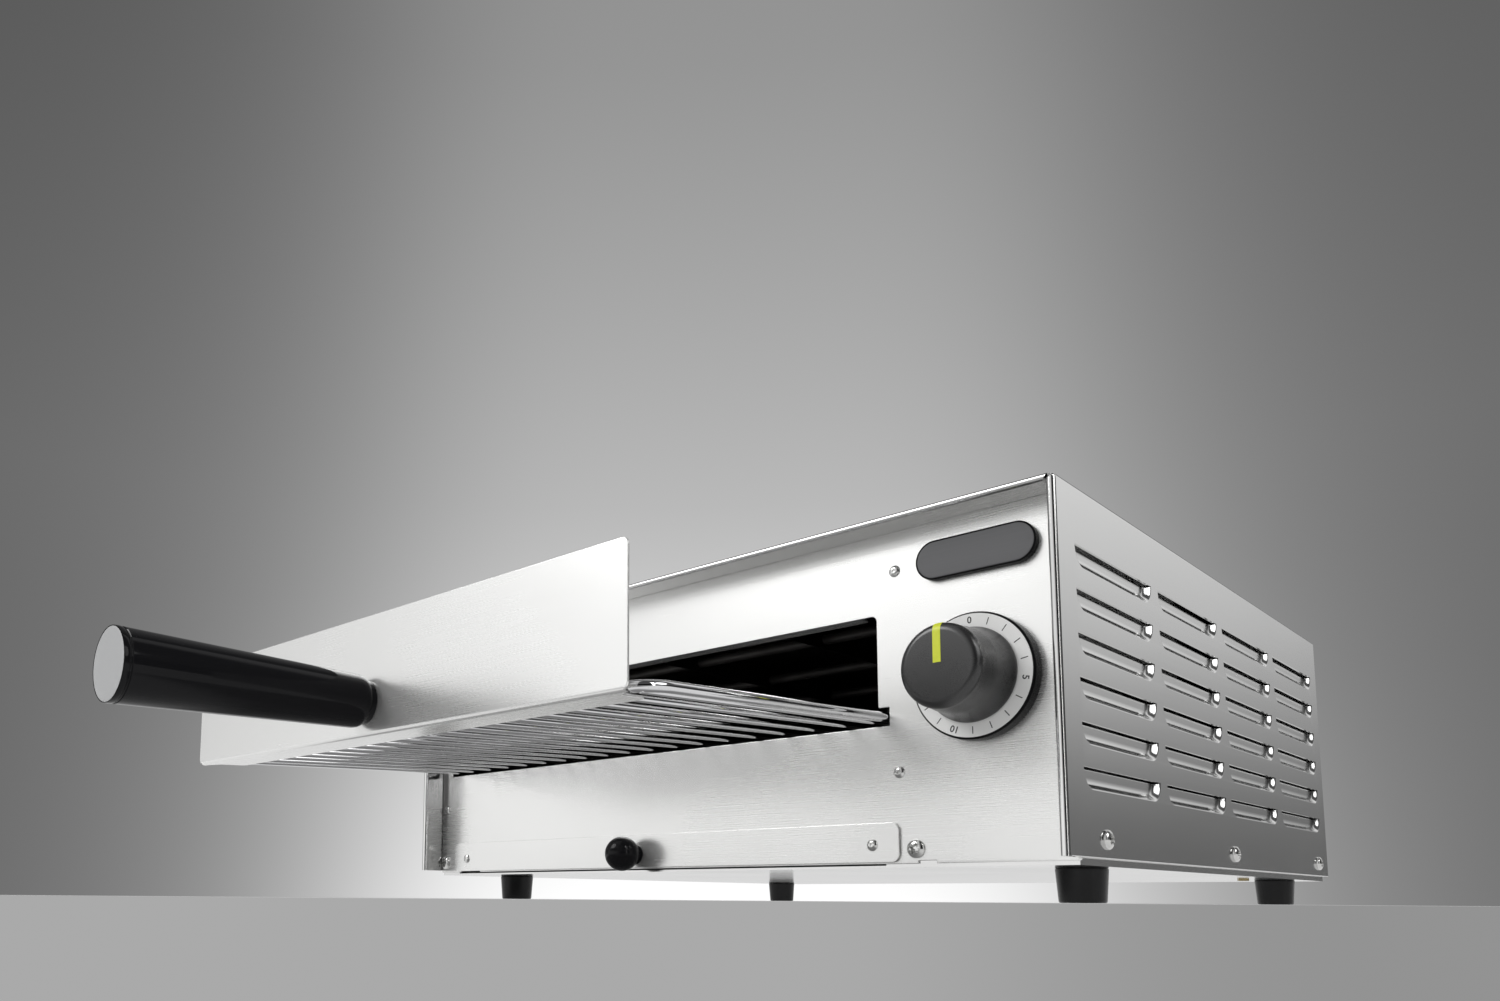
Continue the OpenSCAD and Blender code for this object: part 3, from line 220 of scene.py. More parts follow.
class Form:
    """A closed mesh under construction."""

    def __init__(self):
        self.bm = bmesh.new()

    def ring(self, points, place=Matrix.Identity(4)):
        return [self.bm.verts.new(place @ Vector(p)) for p in points]

    def face(self, verts):
        different = list(dict.fromkeys(verts))
        if len(different) > 2:
            self.bm.faces.new(different)

    def strip(self, a, b, closed=True):
        """Quads between two rings of as many points, or a fan where one ring is a single point."""
        count = max(len(a), len(b))
        for i in range(count if closed else count - 1):
            j = (i + 1) % count
            self.face([a[i % len(a)], a[j % len(a)], b[j % len(b)], b[i % len(b)]])

    def loft(self, rings, closed=True, caps=True):
        for a, b in zip(rings, rings[1:]):
            self.strip(a, b, closed)
        if caps:
            for end in (rings[0], rings[-1]):
                if len(end) > 2:
                    self.face(end)

    def lathe(self, profile, place, steps=64, caps=True):
        """Turns (radius, height) points round the placement's Z."""
        rings = []
        for radius, height in profile:
            if radius < 1e-6:
                rings.append(self.ring([(0, 0, height)], place))
            else:
                rings.append(self.ring([(x, y, height) for x, y in circle(0, 0, radius, steps)], place))
        self.loft(rings, caps=caps)

    def fill(self, loops):
        """Fills a flat face: the first ring is its outline, the others are holes in it."""
        verts = [v for loop in loops for v in loop]
        for triangle in tessellate_polygon([[v.co for v in loop] for loop in loops]):
            corners = [verts[i] for i in triangle]
            if len(set(corners)) == 3 and not self.bm.faces.get(corners):
                self.bm.faces.new(corners)

    def plate(self, outline, holes, thickness, place, edge=0.3):
        """A plate with rounded edges. Its front is the placement's XY plane, and the sheet lies behind it."""
        steps = [(1 - math.sin(a), 1 - math.cos(a)) for a in (math.radians(30 * i) for i in range(4))]
        layers = [(edge * s, -edge * d) for s, d in steps]
        layers += [(edge * s, edge * d - thickness) for s, d in reversed(steps)]
        fronts, backs = [], []
        for shape, side in [(outline, 1)] + [(hole, -1) for hole in holes]:
            rings = [self.ring([(x, y, w) for x, y in inset(shape, side * s)], place) for s, w in layers]
            for a, b in zip(rings, rings[1:]):
                self.strip(a, b)
            fronts.append(rings[0])
            backs.append(rings[-1])
        self.fill(fronts)
        self.fill(backs)

    def tube(self, path, radius, normal, closed=False, steps=20):
        """A round rod along points that lie in a plane with that normal."""
        rings, count = [], len(path)
        for i, point in enumerate(path):
            ahead = path[(i + 1) % count] if closed or i < count - 1 else point
            behind = path[i - 1] if closed or i > 0 else point
            along = (Vector(ahead) - Vector(behind)).normalized()
            side = along.cross(Vector(normal)).normalized()
            up = side.cross(along)
            rings.append(self.ring([Vector(point) + side * x + up * y for x, y in circle(0, 0, radius, steps)]))
        if closed:
            rings.append(rings[0])
        self.loft(rings, caps=not closed)

    def rod(self, start, length, radius, run, steps=18):
        """A straight rod along the run's Y with rounded ends."""
        place = run @ Matrix.Translation(Vector(start)) @ Matrix.Rotation(math.radians(-90), 4, "X")
        r = radius
        ends = [(0, 0), (0.6 * r, 0), (0.88 * r, 0.14 * r), (r, 0.5 * r)]
        self.lathe(ends + [(a, length - b) for a, b in reversed(ends)], place, steps)


def piece(form, name, finish, body, stands_for=(), crease=38, even=True):
    """Turns a form into a smooth-shaded object with its finish, riding on its body."""
    bmesh.ops.remove_doubles(form.bm, verts=form.bm.verts, dist=1e-5)
    bmesh.ops.recalc_face_normals(form.bm, faces=form.bm.faces)
    form.bm.transform(Matrix.Scale(MM, 4))
    mesh = bpy.data.meshes.new(name)
    form.bm.to_mesh(mesh)
    form.bm.free()
    mesh.polygons.foreach_set("use_smooth", [True] * len(mesh.polygons))
    mesh.set_sharp_from_angle(angle=math.radians(crease))
    made = bpy.data.objects.new(name, mesh)
    bpy.context.scene.collection.objects.link(made)
    if even:
        normals = made.modifiers.new("Even normals", "WEIGHTED_NORMAL")
        normals.weight = 100
        normals.keep_sharp = True
    mesh.materials.append(finish)
    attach(made, body)
    if stands_for:
        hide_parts(*stands_for)
    return made


# Finishes


class Value:
    """A shader socket. Expressions on it add their maths nodes."""

    def __init__(self, finish, socket):
        self.finish, self.socket = finish, socket

    def maths(self, operation, *others):
        vector = any(isinstance(o, Value) and o.socket.type in ("VECTOR", "RGBA") for o in (self, *others))
        kind = "ShaderNodeVectorMath" if vector else "ShaderNodeMath"
        return self.finish.node(kind, {"operation": operation}, dict(enumerate((self, *others))))

    def __add__(self, other):
        return self.maths("ADD", other)

    def __sub__(self, other):
        return self.maths("SUBTRACT", other)

    def __mul__(self, other):
        return self.maths("MULTIPLY", other)

    def __truediv__(self, other):
        return self.maths("DIVIDE", other)

    def __pow__(self, other):
        return self.maths("POWER", other)

    def __rsub__(self, other):
        return self.reflected("SUBTRACT", other)

    def __rtruediv__(self, other):
        return self.reflected("DIVIDE", other)

    def __neg__(self):
        return self * -1.0

    def reflected(self, operation, other):
        return self.finish.node("ShaderNodeMath", {"operation": operation}, {0: other, 1: self})

    __radd__, __rmul__ = __add__, __mul__

    def step(self, low, high):
        """0 below low, 1 above high and smooth between them. It falls where low is above high."""
        flip = low > high
        ends = {1: min(low, high), 2: max(low, high), 3: float(flip), 4: float(not flip)}
        settings = {"interpolation_type": "SMOOTHSTEP"}
        return self.finish.node("ShaderNodeMapRange", settings, {0: self, **ends})


class Finish:
    """A node tree with one method for its nodes."""

    def __init__(self, tree):
        self.tree = tree

    def node(self, kind, settings=None, inputs=None, output=0):
        made = self.tree.nodes.new(kind)
        for key, setting in (settings or {}).items():
            if key == "stops":
                self.set_stops(made.color_ramp, setting)
            else:
                setattr(made, key, setting)
        for key, given in (inputs or {}).items():
            if isinstance(given, Value):
                self.tree.links.new(given.socket, made.inputs[key])
            else:
                made.inputs[key].default_value = given
        return Value(self, made.outputs[output])

    @staticmethod
    def set_stops(ramp, stops):
        while len(ramp.elements) < len(stops):
            ramp.elements.new(0.5)
        for element, (place, colour) in zip(ramp.elements, stops):
            element.position = place
            element.color = (*colour, 1) if isinstance(colour, (tuple, list)) else (colour, colour, colour, 1)

    def place(self):
        """Object coordinates, which are the oven's own frame in metres."""
        return self.node("ShaderNodeTexCoord", output="Object")

    def noise(self, scale, detail=2.0, stretch=(1, 1, 1), rough=0.5):
        """Noise from 0 to 1, with that many features to the metre along each axis of stretch."""
        coords = self.place() * tuple(scale * s for s in stretch)
        return self.node("ShaderNodeTexNoise", inputs={"Vector": coords, "Scale": 1.0, "Detail": detail, "Roughness": rough})

    def mix(self, factor, a, b):
        """Colour a where factor is 0, and b where it is 1."""
        return self.node("ShaderNodeMix", {"data_type": "RGBA"}, {0: factor, 6: opaque(a), 7: opaque(b)}, output=2)

    def bump(self, height, strength, distance):
        inputs = {"Height": height, "Strength": strength, "Distance": distance}
        return self.node("ShaderNodeBump", inputs=inputs)


def opaque(colour):
    return colour if isinstance(colour, Value) else (*colour[:3], 1)


def shade(colour, factor):
    return tuple(min(1, c * factor) for c in colour)


FINISHES = {}


def finish_named(name):
    """Decorator: makes the finish once, and hands out the same material afterwards."""

    def keep(paint):
        def made(*arguments):
            key = " ".join([name, *(str(a) for a in arguments if isinstance(a, str))])
            if key not in FINISHES:
                material = bpy.data.materials.new(key)
                material.use_nodes = True
                shader = material.node_tree.nodes["Principled BSDF"]
                fin = Finish(material.node_tree)
                for socket, given in paint(fin, *arguments).items():
                    if isinstance(given, Value):
                        material.node_tree.links.new(given.socket, shader.inputs[socket])
                    elif isinstance(given, tuple):
                        shader.inputs[socket].default_value = opaque(given)
                    else:
                        shader.inputs[socket].default_value = given
                FINISHES[key] = material
            return FINISHES[key]

        return made

    return keep


GRAIN = {"X": (0.006, 1, 1), "Y": (1, 0.006, 1), "Z": (1, 1, 0.006)}


@finish_named("brushed steel")
def brushed_steel(fin, grain, tone):
    """Stainless sheet with a fine directional grain, soft smudges and a slightly uneven tone."""
    colour = tuple(getattr(colours(), tone))
    fine = fin.noise(3200, 1, GRAIN[grain])
    coarse = fin.noise(700, 2, GRAIN[grain])
    smudge = fin.noise(9, 3).step(0.42, 0.75)
    tone_shift = fin.noise(5, 2)
    # The panel and plate tones carry painted light: their tints are lighter than the cover's steel, partly for the
    # brightly lit front.
    rough, metal = (0.1, 1.0) if tone == "steel" else (0.22, 0.75)
    return {
        "Base Color": fin.mix(coarse * 0.06 + tone_shift * 0.4, shade(colour, 1.03), shade(colour, 0.92)),
        "Metallic": metal,
        "Roughness": fine * 0.05 + coarse * 0.02 + smudge * 0.03 + rough,
        "Normal": fin.bump(fine * 0.6 + coarse * 0.4, 0.012, 0.0002),
    }


@finish_named("liner steel")
def liner_steel(fin):
    """Heat-stained sheet of the cooking chamber."""
    colour = tuple(colours().liner)
    stain = fin.noise(14, 4)
    grain = fin.noise(1500, 2, GRAIN["Y"])
    return {
        "Base Color": fin.mix(stain.step(0.35, 0.7), colour, shade(colour, 0.55)),
        "Metallic": 0.9,
        "Roughness": grain * 0.1 + stain * 0.2 + 0.28,
        "Normal": fin.bump(grain, 0.06, 0.0002),
    }


@finish_named("heater sheath")
def heater_sheath(fin):
    """Dull dark sheath with a fine scale."""
    colour = tuple(colours().heater)
    scale = fin.noise(900, 3)
    patch = fin.noise(30, 3)
    return {
        "Base Color": fin.mix(patch.step(0.3, 0.7), colour, shade(colour, 1.7)),
        "Metallic": 0.6,
        "Roughness": scale * 0.15 + 0.42,
        "Normal": fin.bump(scale, 0.15, 0.0002),
    }


@finish_named("chromed wire")
def chromed_wire(fin):
    """Bright drawn wire with faint waves and dull spots."""
    colour = tuple(colours().chrome)
    wave = fin.noise(120, 2)
    spots = fin.noise(1400, 2).step(0.62, 0.75)
    return {
        "Base Color": fin.mix(spots * 0.5, colour, shade(colour, 0.6)),
        "Metallic": 1.0,
        "Roughness": wave * 0.04 + spots * 0.1 + 0.03,
        "Normal": fin.bump(wave, 0.04, 0.0006),
    }


@finish_named("zinc plate")
def zinc_plate(fin):
    """Plated steel of screws, nuts and rivets."""
    colour = tuple(colours().zinc)
    cloud = fin.noise(700, 3)
    return {
        "Base Color": fin.mix(cloud, shade(colour, 0.85), shade(colour, 1.15)),
        "Metallic": 1.0,
        "Roughness": cloud * 0.1 + 0.08,
        "Normal": fin.bump(cloud, 0.03, 0.0002),
    }


@finish_named("brass")
def brass(fin):
    """Turned brass."""
    colour = tuple(colours().brass)
    cloud = fin.noise(500, 3)
    return {
        "Base Color": fin.mix(cloud.step(0.35, 0.7), colour, shade(colour, 0.7)),
        "Metallic": 1.0,
        "Roughness": cloud * 0.15 + 0.22,
    }


@finish_named("rubber")
def rubber(fin):
    """Matt black rubber with a fine moulded grain."""
    colour = tuple(colours().rubber)
    grain = fin.noise(2600, 2)
    dust = fin.noise(60, 4).step(0.5, 0.8)
    return {
        "Base Color": fin.mix(dust * 0.5, colour, shade(colour, 2.2)),
        "Roughness": grain * 0.08 + 0.2,
        "Normal": fin.bump(grain, 0.05, 0.0002),
        "Specular IOR Level": 0.22,
    }


@finish_named("gloss black")
def gloss_black(fin):
    """Moulded gloss black with a faint orange peel and light rub marks."""
    colour = tuple(colours().gloss_black)
    peel = fin.noise(260, 2)
    rubs = fin.noise(90, 3, (1, 0.1, 1)).step(0.5, 0.8)
    return {
        "Base Color": fin.mix(rubs * 0.4, colour, shade(colour, 1.8)),
        "Roughness": rubs * 0.04 + peel * 0.02 + 0.05,
        "Normal": fin.bump(peel, 0.02, 0.0004),
        "Specular IOR Level": 0.12,
    }


@finish_named("cap grey")
def cap_grey(fin):
    """Light grey moulded cap with a satin grain."""
    colour = tuple(colours().cap)
    grain = fin.noise(1800, 2)
    tone = fin.noise(40, 2)
    return {
        "Base Color": fin.mix(tone, shade(colour, 0.93), shade(colour, 1.07)),
        "Roughness": grain * 0.1 + 0.36,
        "Normal": fin.bump(grain, 0.05, 0.0002),
    }


@finish_named("knob grey")
def knob_grey(fin):
    """Satin dark grey moulding with a fine spark-eroded grain."""
    colour = tuple(colours().knob)
    grain = fin.noise(2600, 2)
    tone = fin.noise(70, 2)
    return {
        "Base Color": fin.mix(tone, shade(colour, 0.88), shade(colour, 1.14)),
        "Roughness": grain * 0.06 + tone * 0.04 + 0.23,
        "Normal": fin.bump(grain, 0.03, 0.0002),
        "Specular IOR Level": 0.7,
    }


@finish_named("pointer paint")
def pointer_paint(fin):
    """Thick yellow-green paint in the knob's groove."""
    colour = tuple(colours().pointer)
    tone = fin.noise(400, 2)
    return {
        "Base Color": fin.mix(tone, shade(colour, 0.92), shade(colour, 1.06)),
        "Roughness": tone * 0.1 + 0.34,
        "Normal": fin.bump(tone, 0.05, 0.0002),
    }


@finish_named("dial black")
def dial_black(fin):
    """Satin black of the dial base and the badge's rim."""
    colour = tuple(colours().dial)
    grain = fin.noise(2000, 2)
    return {
        "Base Color": fin.mix(grain, colour, shade(colour, 1.5)),
        "Roughness": grain * 0.1 + 0.22,
        "Normal": fin.bump(grain, 0.04, 0.0002),
        "Specular IOR Level": 0.06,
    }


@finish_named("scale white")
def scale_white(fin):
    """White scale ring under a thin clear print coat."""
    colour = tuple(colours().scale)
    tone = fin.noise(150, 2)
    return {
        "Base Color": fin.mix(tone, shade(colour, 0.97), colour),
        "Roughness": tone * 0.08 + 0.3,
    }


@finish_named("printed black")
def printed_black(fin):
    """Printed marks of the scale, with a slightly uneven ink."""
    colour = tuple(colours().dial)
    ink = fin.noise(1500, 3)
    return {
        "Base Color": fin.mix(ink.step(0.4, 0.8), colour, shade(colour, 8)),
        "Roughness": ink * 0.1 + 0.4,
    }


@finish_named("badge face")
def badge_face(fin):
    """Satin dark face of the badge."""
    colour = tuple(colours().badge)
    grain = fin.noise(1600, 2, GRAIN["X"])
    return {
        "Base Color": fin.mix(grain, shade(colour, 0.9), shade(colour, 1.1)),
        "Roughness": grain * 0.1 + 0.38,
        "Normal": fin.bump(grain, 0.05, 0.0002),
    }


@finish_named("ceramic")
def ceramic(fin):
    """Off-white ceramic."""
    colour = tuple(colours().ceramic)
    speck = fin.noise(900, 3)
    return {
        "Base Color": fin.mix(speck.step(0.55, 0.75) * 0.4, colour, shade(colour, 0.7)),
        "Roughness": speck * 0.15 + 0.3,
    }


# Cover and front panel


def louvre_profile(depth):
    """How deep a louvre lies at each distance inside its outline, rolled over at the edge and at the floor."""
    steps = [(0, 0), (0.4, 0.03), (0.8, 0.1), (1.2, 0.21), (1.7, 0.38), (2.3, 0.58), (3.0, 0.77), (3.8, 0.9),
             (4.8, 0.97), (6.0, 1)]
    return [(u, share * depth) for u, share in steps]


def louvre_ring(x, top, u, deep, size):
    """Points of a louvre at distance u inside its outline: down the near end, along the bottom, up the far end."""
    long, high, slit = size
    near, far, low = x + high, x + long - high, high - u
    drop = slit * min(1, u / 2)
    points = arc(near, top, low, 180, 270, 9) + arc(far, top, low, 270, 360, 9)
    points[0] = (points[0][0], top - drop)
    points[-1] = (points[-1][0], top - drop)
    return [(px, pz, -deep) for px, pz in points]


def sheet_section(sheet, start, depth, edge=0.4):
    """Section of the cover's sheet behind its front hem: (distance from the front edge, depth below the outer face)."""
    outer = [(depth, edge), (depth - edge * 0.3, edge * 0.3), (depth - edge, 0), (start, 0)]
    inner = [(start, sheet), (depth - edge, sheet), (depth - edge * 0.3, sheet - edge * 0.3), (depth, sheet - edge)]
    return outer + inner


def hem_section(sheet, radius, start, depth, edge=0.3):
    """Section of the open hem, from the sheet round the front and back along the inside."""
    deep = 2 * radius
    rear = [(depth - edge, deep), (depth, deep - edge), (depth, deep - sheet + edge), (depth - edge, deep - sheet)]
    return (
        [(start, 0)] + arc(radius, radius, radius, 270, 90, 20) + rear
        + arc(radius, radius, radius - sheet, 90, 270, 14) + [(start, sheet)]
    )


class OVEN_OT_outer_cover(bpy.types.Operator):
    """Folded cover with hemmed front edges and pressed louvres in both sides"""

    bl_idname = "oven.outer_cover"
    bl_label = "Outer cover"

    def execute(self, context):
        s = sizes()
        form = Form()
        half, top, low = COVER_HIGH.x, COVER_HIGH.z, COVER_LOW.z
        sheet, bend = mm(s.sheet), mm(s.cover_bend)
        depth = COVER_HIGH.y - EDGE_Y
        hem_r = sheet + mm(s.hem_gap) / 2
        start = hem_r + 1
        section = sheet_section(sheet, start + 0.01, depth)

        def station(x, z, outward):
            """Section ring where the sheet's outer face passes through (x, z)."""
            out = Vector((outward[0], 0, outward[1]))
            return self.place_ring(form, section, Vector((x, EDGE_Y, z)), out)

        def shrunk(x, z, outward, by):
            small = [(y, deep + (by if deep < sheet / 2 else -by)) for y, deep in section]
            return self.place_ring(form, small, Vector((x, EDGE_Y, z)), Vector((outward[0], 0, outward[1])))

        ways = []
        for side in (1, -1):
            out = (side, 0)
            ways.append([
                shrunk(side * half, low, out, 0.4), shrunk(side * half, low + 0.12, out, 0.12),
                station(side * half, low + 0.4, out), station(side * half, top - bend, out),
            ])
        bends = []
        for side in (1, -1):
            bends.append([
                station(side * (half - bend + bend * math.sin(a)), top - bend + bend * math.cos(a),
                        (side * math.sin(a), math.cos(a)))
                for a in (math.radians(90 - 11.25 * i) for i in range(1, 9))
            ])
        right, left = ways
        rings = right + bends[0] + bends[1][::-1] + left[::-1]
        flats = (2, len(rings) - 4)
        for i, (a, b) in enumerate(zip(rings, rings[1:])):
            for j in range(len(section)):
                k = (j + 1) % len(section)
                if i in flats and j in (2, 4):
                    continue
                form.face([a[j], a[k], b[k], b[j]])
        form.face(rings[0])
        form.face(rings[-1])
        for i in flats:
            a, b = rings[i], rings[i + 1]
            side = 1 if a[2].co.x > 0 else -1
            outside = [a[2], a[3], b[3], b[2]]
            inside = [a[4], a[5], b[5], b[4]]
            holes_out, holes_in = self.louvres(form, s, side, half, sheet)
            form.fill([outside] + holes_out)
            form.fill([inside] + holes_in)
        across = hem_section(sheet, sheet + mm(s.top_hem_gap) / 2, start, PANEL_Y - EDGE_Y - 0.3)
        self.front_hems(form, hem_section(sheet, hem_r, start, mm(s.hem_depth)), across, half, top, low, bend)
        self.hems(form, s, half, low, sheet, depth)
        piece(form, "outer_cover_sheet", brushed_steel("Y", "steel"), "case", ("outer_cover",))
        return {"FINISHED"}

    def front_hems(self, form, section, across, half, top, low, bend):
        """The open hem of each side follows the corner's bend a little way. The top's hem ends in a mitre."""
        for side in (1, -1):
            rings = [self.place_ring(form, section, Vector((side * half, EDGE_Y, low)), Vector((side, 0, 0)))]
            for angle in (0, 12, 24, 36, 48):
                a = math.radians(angle)
                out = Vector((side * math.cos(a), 0, math.sin(a)))
                middle = Vector((side * (half - bend), EDGE_Y, top - bend))
                rings.append(self.place_ring(form, section, middle + out * bend, out))
            self.strip_of(form, rings)
        self.strip_of(form, [
            form.ring([(side * (half - 3.0 - 0.85 * deep), EDGE_Y + y, top - deep) for y, deep in across])
            for side in (1, -1)
        ])

    @staticmethod
    def strip_of(form, rings):
        """A closed strip of sheet between two ends of any outline."""
        form.loft(rings, caps=False)
        for end in (rings[0], rings[-1]):
            form.fill([end])

    @staticmethod
    def place_ring(form, section, origin, out):
        return form.ring([origin + Vector((0, y, 0)) - out * deep for y, deep in section])

    @staticmethod
    def louvres(form, s, side, half, sheet):
        """Presses the louvres of one side. Returns their outlines in the sheet's outer and inner face."""
        size = (mm(s.louvre_length), mm(s.louvre_height), mm(s.louvre_slit))
        columns = round((COVER_HIGH.y - EDGE_Y - mm(s.louvre_first) - size[0]) // mm(s.louvre_across)) + 1
        rows = round((COVER_HIGH.z - mm(s.louvre_low) - 27) // mm(s.louvre_up)) + 1
        place = facing((half, EDGE_Y, 0), (1, 0, 0))
        if side < 0:
            place = Matrix.Scale(-1, 4, (1, 0, 0)) @ place
        outlines, inlines = [], []
        for column in range(columns):
            for row in range(rows):
                x = mm(s.louvre_first) + column * mm(s.louvre_across)
                top = mm(s.louvre_low) + row * mm(s.louvre_up)
                faces = []
                for back in (0, sheet):
                    profile = louvre_profile(mm(s.louvre_depth))
                    faces.append([form.ring(louvre_ring(x, top, u, d + back, size), place) for u, d in profile])
                outer, inner = faces
                for rings in faces:
                    form.loft(rings, closed=False, caps=False)
                    form.face(rings[-1])
                edge_out = [r[0] for r in outer] + [r[-1] for r in reversed(outer)]
                edge_in = [r[0] for r in inner] + [r[-1] for r in reversed(inner)]
                form.strip(edge_out, edge_in, closed=True)
                outlines.append(outer[0])
                inlines.append(inner[0])
        return outlines, inlines

    @staticmethod
    def hems(form, s, half, low, sheet, depth):
        """Turned-up hems inside the lower edges, and the flange behind the rear panel's top."""
        y0 = PANEL_Y - EDGE_Y + 2 * sheet
        for side in (1, -1):
            place = facing((side * (half - sheet), EDGE_Y, 0), (side, 0, 0))
            ends = sorted((side * y0, side * (depth - 4 * sheet)))
            form.plate(round_rect(ends[0], low, ends[1], low + 4, 0.5, 3), [], sheet, place, 0.25)
        rear_y = cad_box("rear_panel")[0].y
        top = COVER_HIGH.z - sheet
        reach = half - sheet - 1
        form.plate(round_rect(-reach, top - 16, reach, top + 0.2, 0.5, 3), [], sheet, front(rear_y - sheet), 0.25)


class OVEN_OT_front_panel(bpy.types.Operator):
    """Front panel with the rack's slot, its notches and folded edge, and the opening for the crumb tray"""

    bl_idname = "oven.front_panel"
    bl_label = "Front panel"

    def execute(self, context):
        s = sizes()
        form = Form()
        sheet = mm(s.sheet)
        left, right = SLOT_X - mm(s.slot_width) / 2, SLOT_X + mm(s.slot_width) / 2
        low, high = mm(s.slot_low), mm(s.slot_low + s.slot_height)
        notch_w, notch_h, corner = 6.5, 10, 3
        slot = (
            [(left - notch_w, low), (right + notch_w, low), (right + notch_w, low + notch_h)]
            + arc(right + 0.8, low + notch_h + 0.8, 0.8, 270, 180, 4)
            + arc(right - corner, high - corner, corner, 0, 90, 6)
            + arc(left + corner, high - corner, corner, 90, 180, 6)
            + arc(left - 0.8, low + notch_h + 0.8, 0.8, 0, -90, 4)
            + [(left - notch_w, low + notch_h)]
        )
        tray_low, tray_high = cad_box("tray_front_wall")
        opening = round_rect(tray_low.x - 0.8, tray_low.z - 0.8, tray_high.x + 0.8, tray_high.z + 0.8, 1, 3)
        shaft = circle(TIMER_X, TIMER_Z, 5)
        half, bottom, top = PANEL_HIGH.x, PANEL_LOW.z, PANEL_HIGH.z
        outline = round_rect(-half, bottom, half, top, 1, 3)
        for x, long in ((SLOT_X - 173.3, 22), (SLOT_X + 200.3, 10)):
            outline += [(x, bottom), (x, bottom + 1.5), (x + long, bottom + 1.5), (x + long, bottom)]
        form.plate(outline, [slot, opening, shaft], sheet, front(PANEL_Y), 0.3)
        fold = round_rect(left + 10, -9.9, right - 10, -0.3, 1.5, 4)
        form.plate(fold, [], sheet, facing((0, PANEL_Y, high), (0, 0, -1), (0, -1, 0)), 0.3)
        piece(form, "front_panel_sheet", brushed_steel("X", "panel"), "case", ("front_panel",))
        return {"FINISHED"}


# Badge and timer


class OVEN_OT_badge(bpy.types.Operator):
    """Plain oval badge plate with a raised black rim and a bare dark face"""

    bl_idname = "oven.badge"
    bl_label = "Badge"

    def execute(self, context):
        low, high = BADGE_LOW.copy(), BADGE_HIGH
        low.z += 1.1
        r = (high.z - low.z) / 2
        outline = round_rect(low.x, low.z, high.x, high.z, r - 0.02, 16)
        rim = Form()
        layers = [(0, 0), (0, 3.5), (0.1, 3.8), (0.3, 3.96), (0.5, 4.0), (0.7, 4.0), (0.85, 3.9), (0.9, 3.7), (0.9, 3.2)]
        rings = [rim.ring([(x, y, h) for x, y in inset(outline, u)], front(high.y)) for u, h in layers]
        rim.loft(rings)
        piece(rim, "badge_rim_moulding", dial_black(), "case", ("badge_rim",))
        face = Form()
        layers = [(0.8, 3.0), (0.8, 3.7), (1.0, 3.84), (1.4, 3.88), (4.6, 3.88)]
        rings = [face.ring([(x, y, h) for x, y in inset(outline, u)], front(high.y)) for u, h in layers]
        face.loft(rings, caps=False)
        face.face(rings[0])
        last, quarter = rings[-1], len(rings[-1]) // 4
        face.strip(last[3 * quarter:] + last[:quarter], last[quarter:3 * quarter][::-1], closed=False)
        piece(face, "badge_face_plate", badge_face(), "case", ("badge_face",))
        return {"FINISHED"}


class OVEN_OT_timer_dial(bpy.types.Operator):
    """Black dial base, white scale ring and its printed marks"""

    bl_idname = "oven.timer_dial"
    bl_label = "Timer dial"

    minutes = 15
    degrees = 20

    def execute(self, context):
        s = sizes()
        r = mm(s.dial)
        deep = DIAL_HIGH.y - DIAL_LOW.y
        centre = facing((TIMER_X, DIAL_HIGH.y, TIMER_Z), (0, -1, 0))
        base = Form()
        base.lathe(
            [(6, 0), (r - 0.4, 0), (r - 0.1, 0.3), (r, 1), (r, deep - 1.1), (r - 0.12, deep - 0.55),
             (r - 0.4, deep - 0.18), (r - 0.9, deep), (6, deep)], centre, 96)
        piece(base, "dial_base_moulding", dial_black(), "case", ("dial_base",))
        ring = Form()
        outside, inside = r - 1.1, mm(s.knob_base) - 3
        self.annulus(ring, centre, [(inside, deep), (inside, deep + 0.3), (inside + 0.1, deep + 0.38),
                                    (outside - 0.1, deep + 0.38), (outside, deep + 0.3), (outside, deep)])
        piece(ring, "dial_scale_ring", scale_white(), "case", ("dial_ring",))
        marks = Form()
        lift = deep + 0.385
        for minute in range(self.minutes + 1):
            turn = Matrix.Rotation(math.radians(-minute * self.degrees), 4, "Z")
            if minute % 5:
                self.bar(marks, centre @ turn, 0.24, 25.4, 29.0, lift)
            else:
                self.number(marks, str(minute), centre @ turn @ Matrix.Translation((0, 27.4, lift)))
        piece(marks, "dial_scale_marks", printed_black(), "case", even=False)
        return {"FINISHED"}

    @staticmethod
    def annulus(form, place, profile):
        rings = [form.ring([(x, y, h) for x, y in circle(0, 0, r, 96)], place) for r, h in profile]
        form.loft(rings + rings[:1], caps=False)

    @staticmethod
    def bar(form, place, half, low, high, lift):
        corners = [(-half, low), (half, low), (half, high), (-half, high)]
        form.loft([form.ring([(x, y, h) for x, y in corners], place) for h in (lift - 0.03, lift + 0.015)])

    @staticmethod
    def number(form, text, place):
        """Digits in the plain built-in face, as thin printed solids."""
        curve = bpy.data.curves.new("digits", "FONT")
        curve.body, curve.size, curve.offset = text, 4.7, 0.09
        curve.align_x, curve.align_y = "CENTER", "CENTER"
        curve.extrude, curve.resolution_u = 0.02, 4
        holder = bpy.data.objects.new("digits", curve)
        bpy.context.scene.collection.objects.link(holder)
        bpy.context.view_layer.update()
        mesh = bpy.data.meshes.new_from_object(holder.evaluated_get(bpy.context.evaluated_depsgraph_get()))
        mesh.transform(place)
        form.bm.from_mesh(mesh)
        bpy.data.objects.remove(holder)
        bpy.data.curves.remove(curve)
        bpy.data.meshes.remove(mesh)


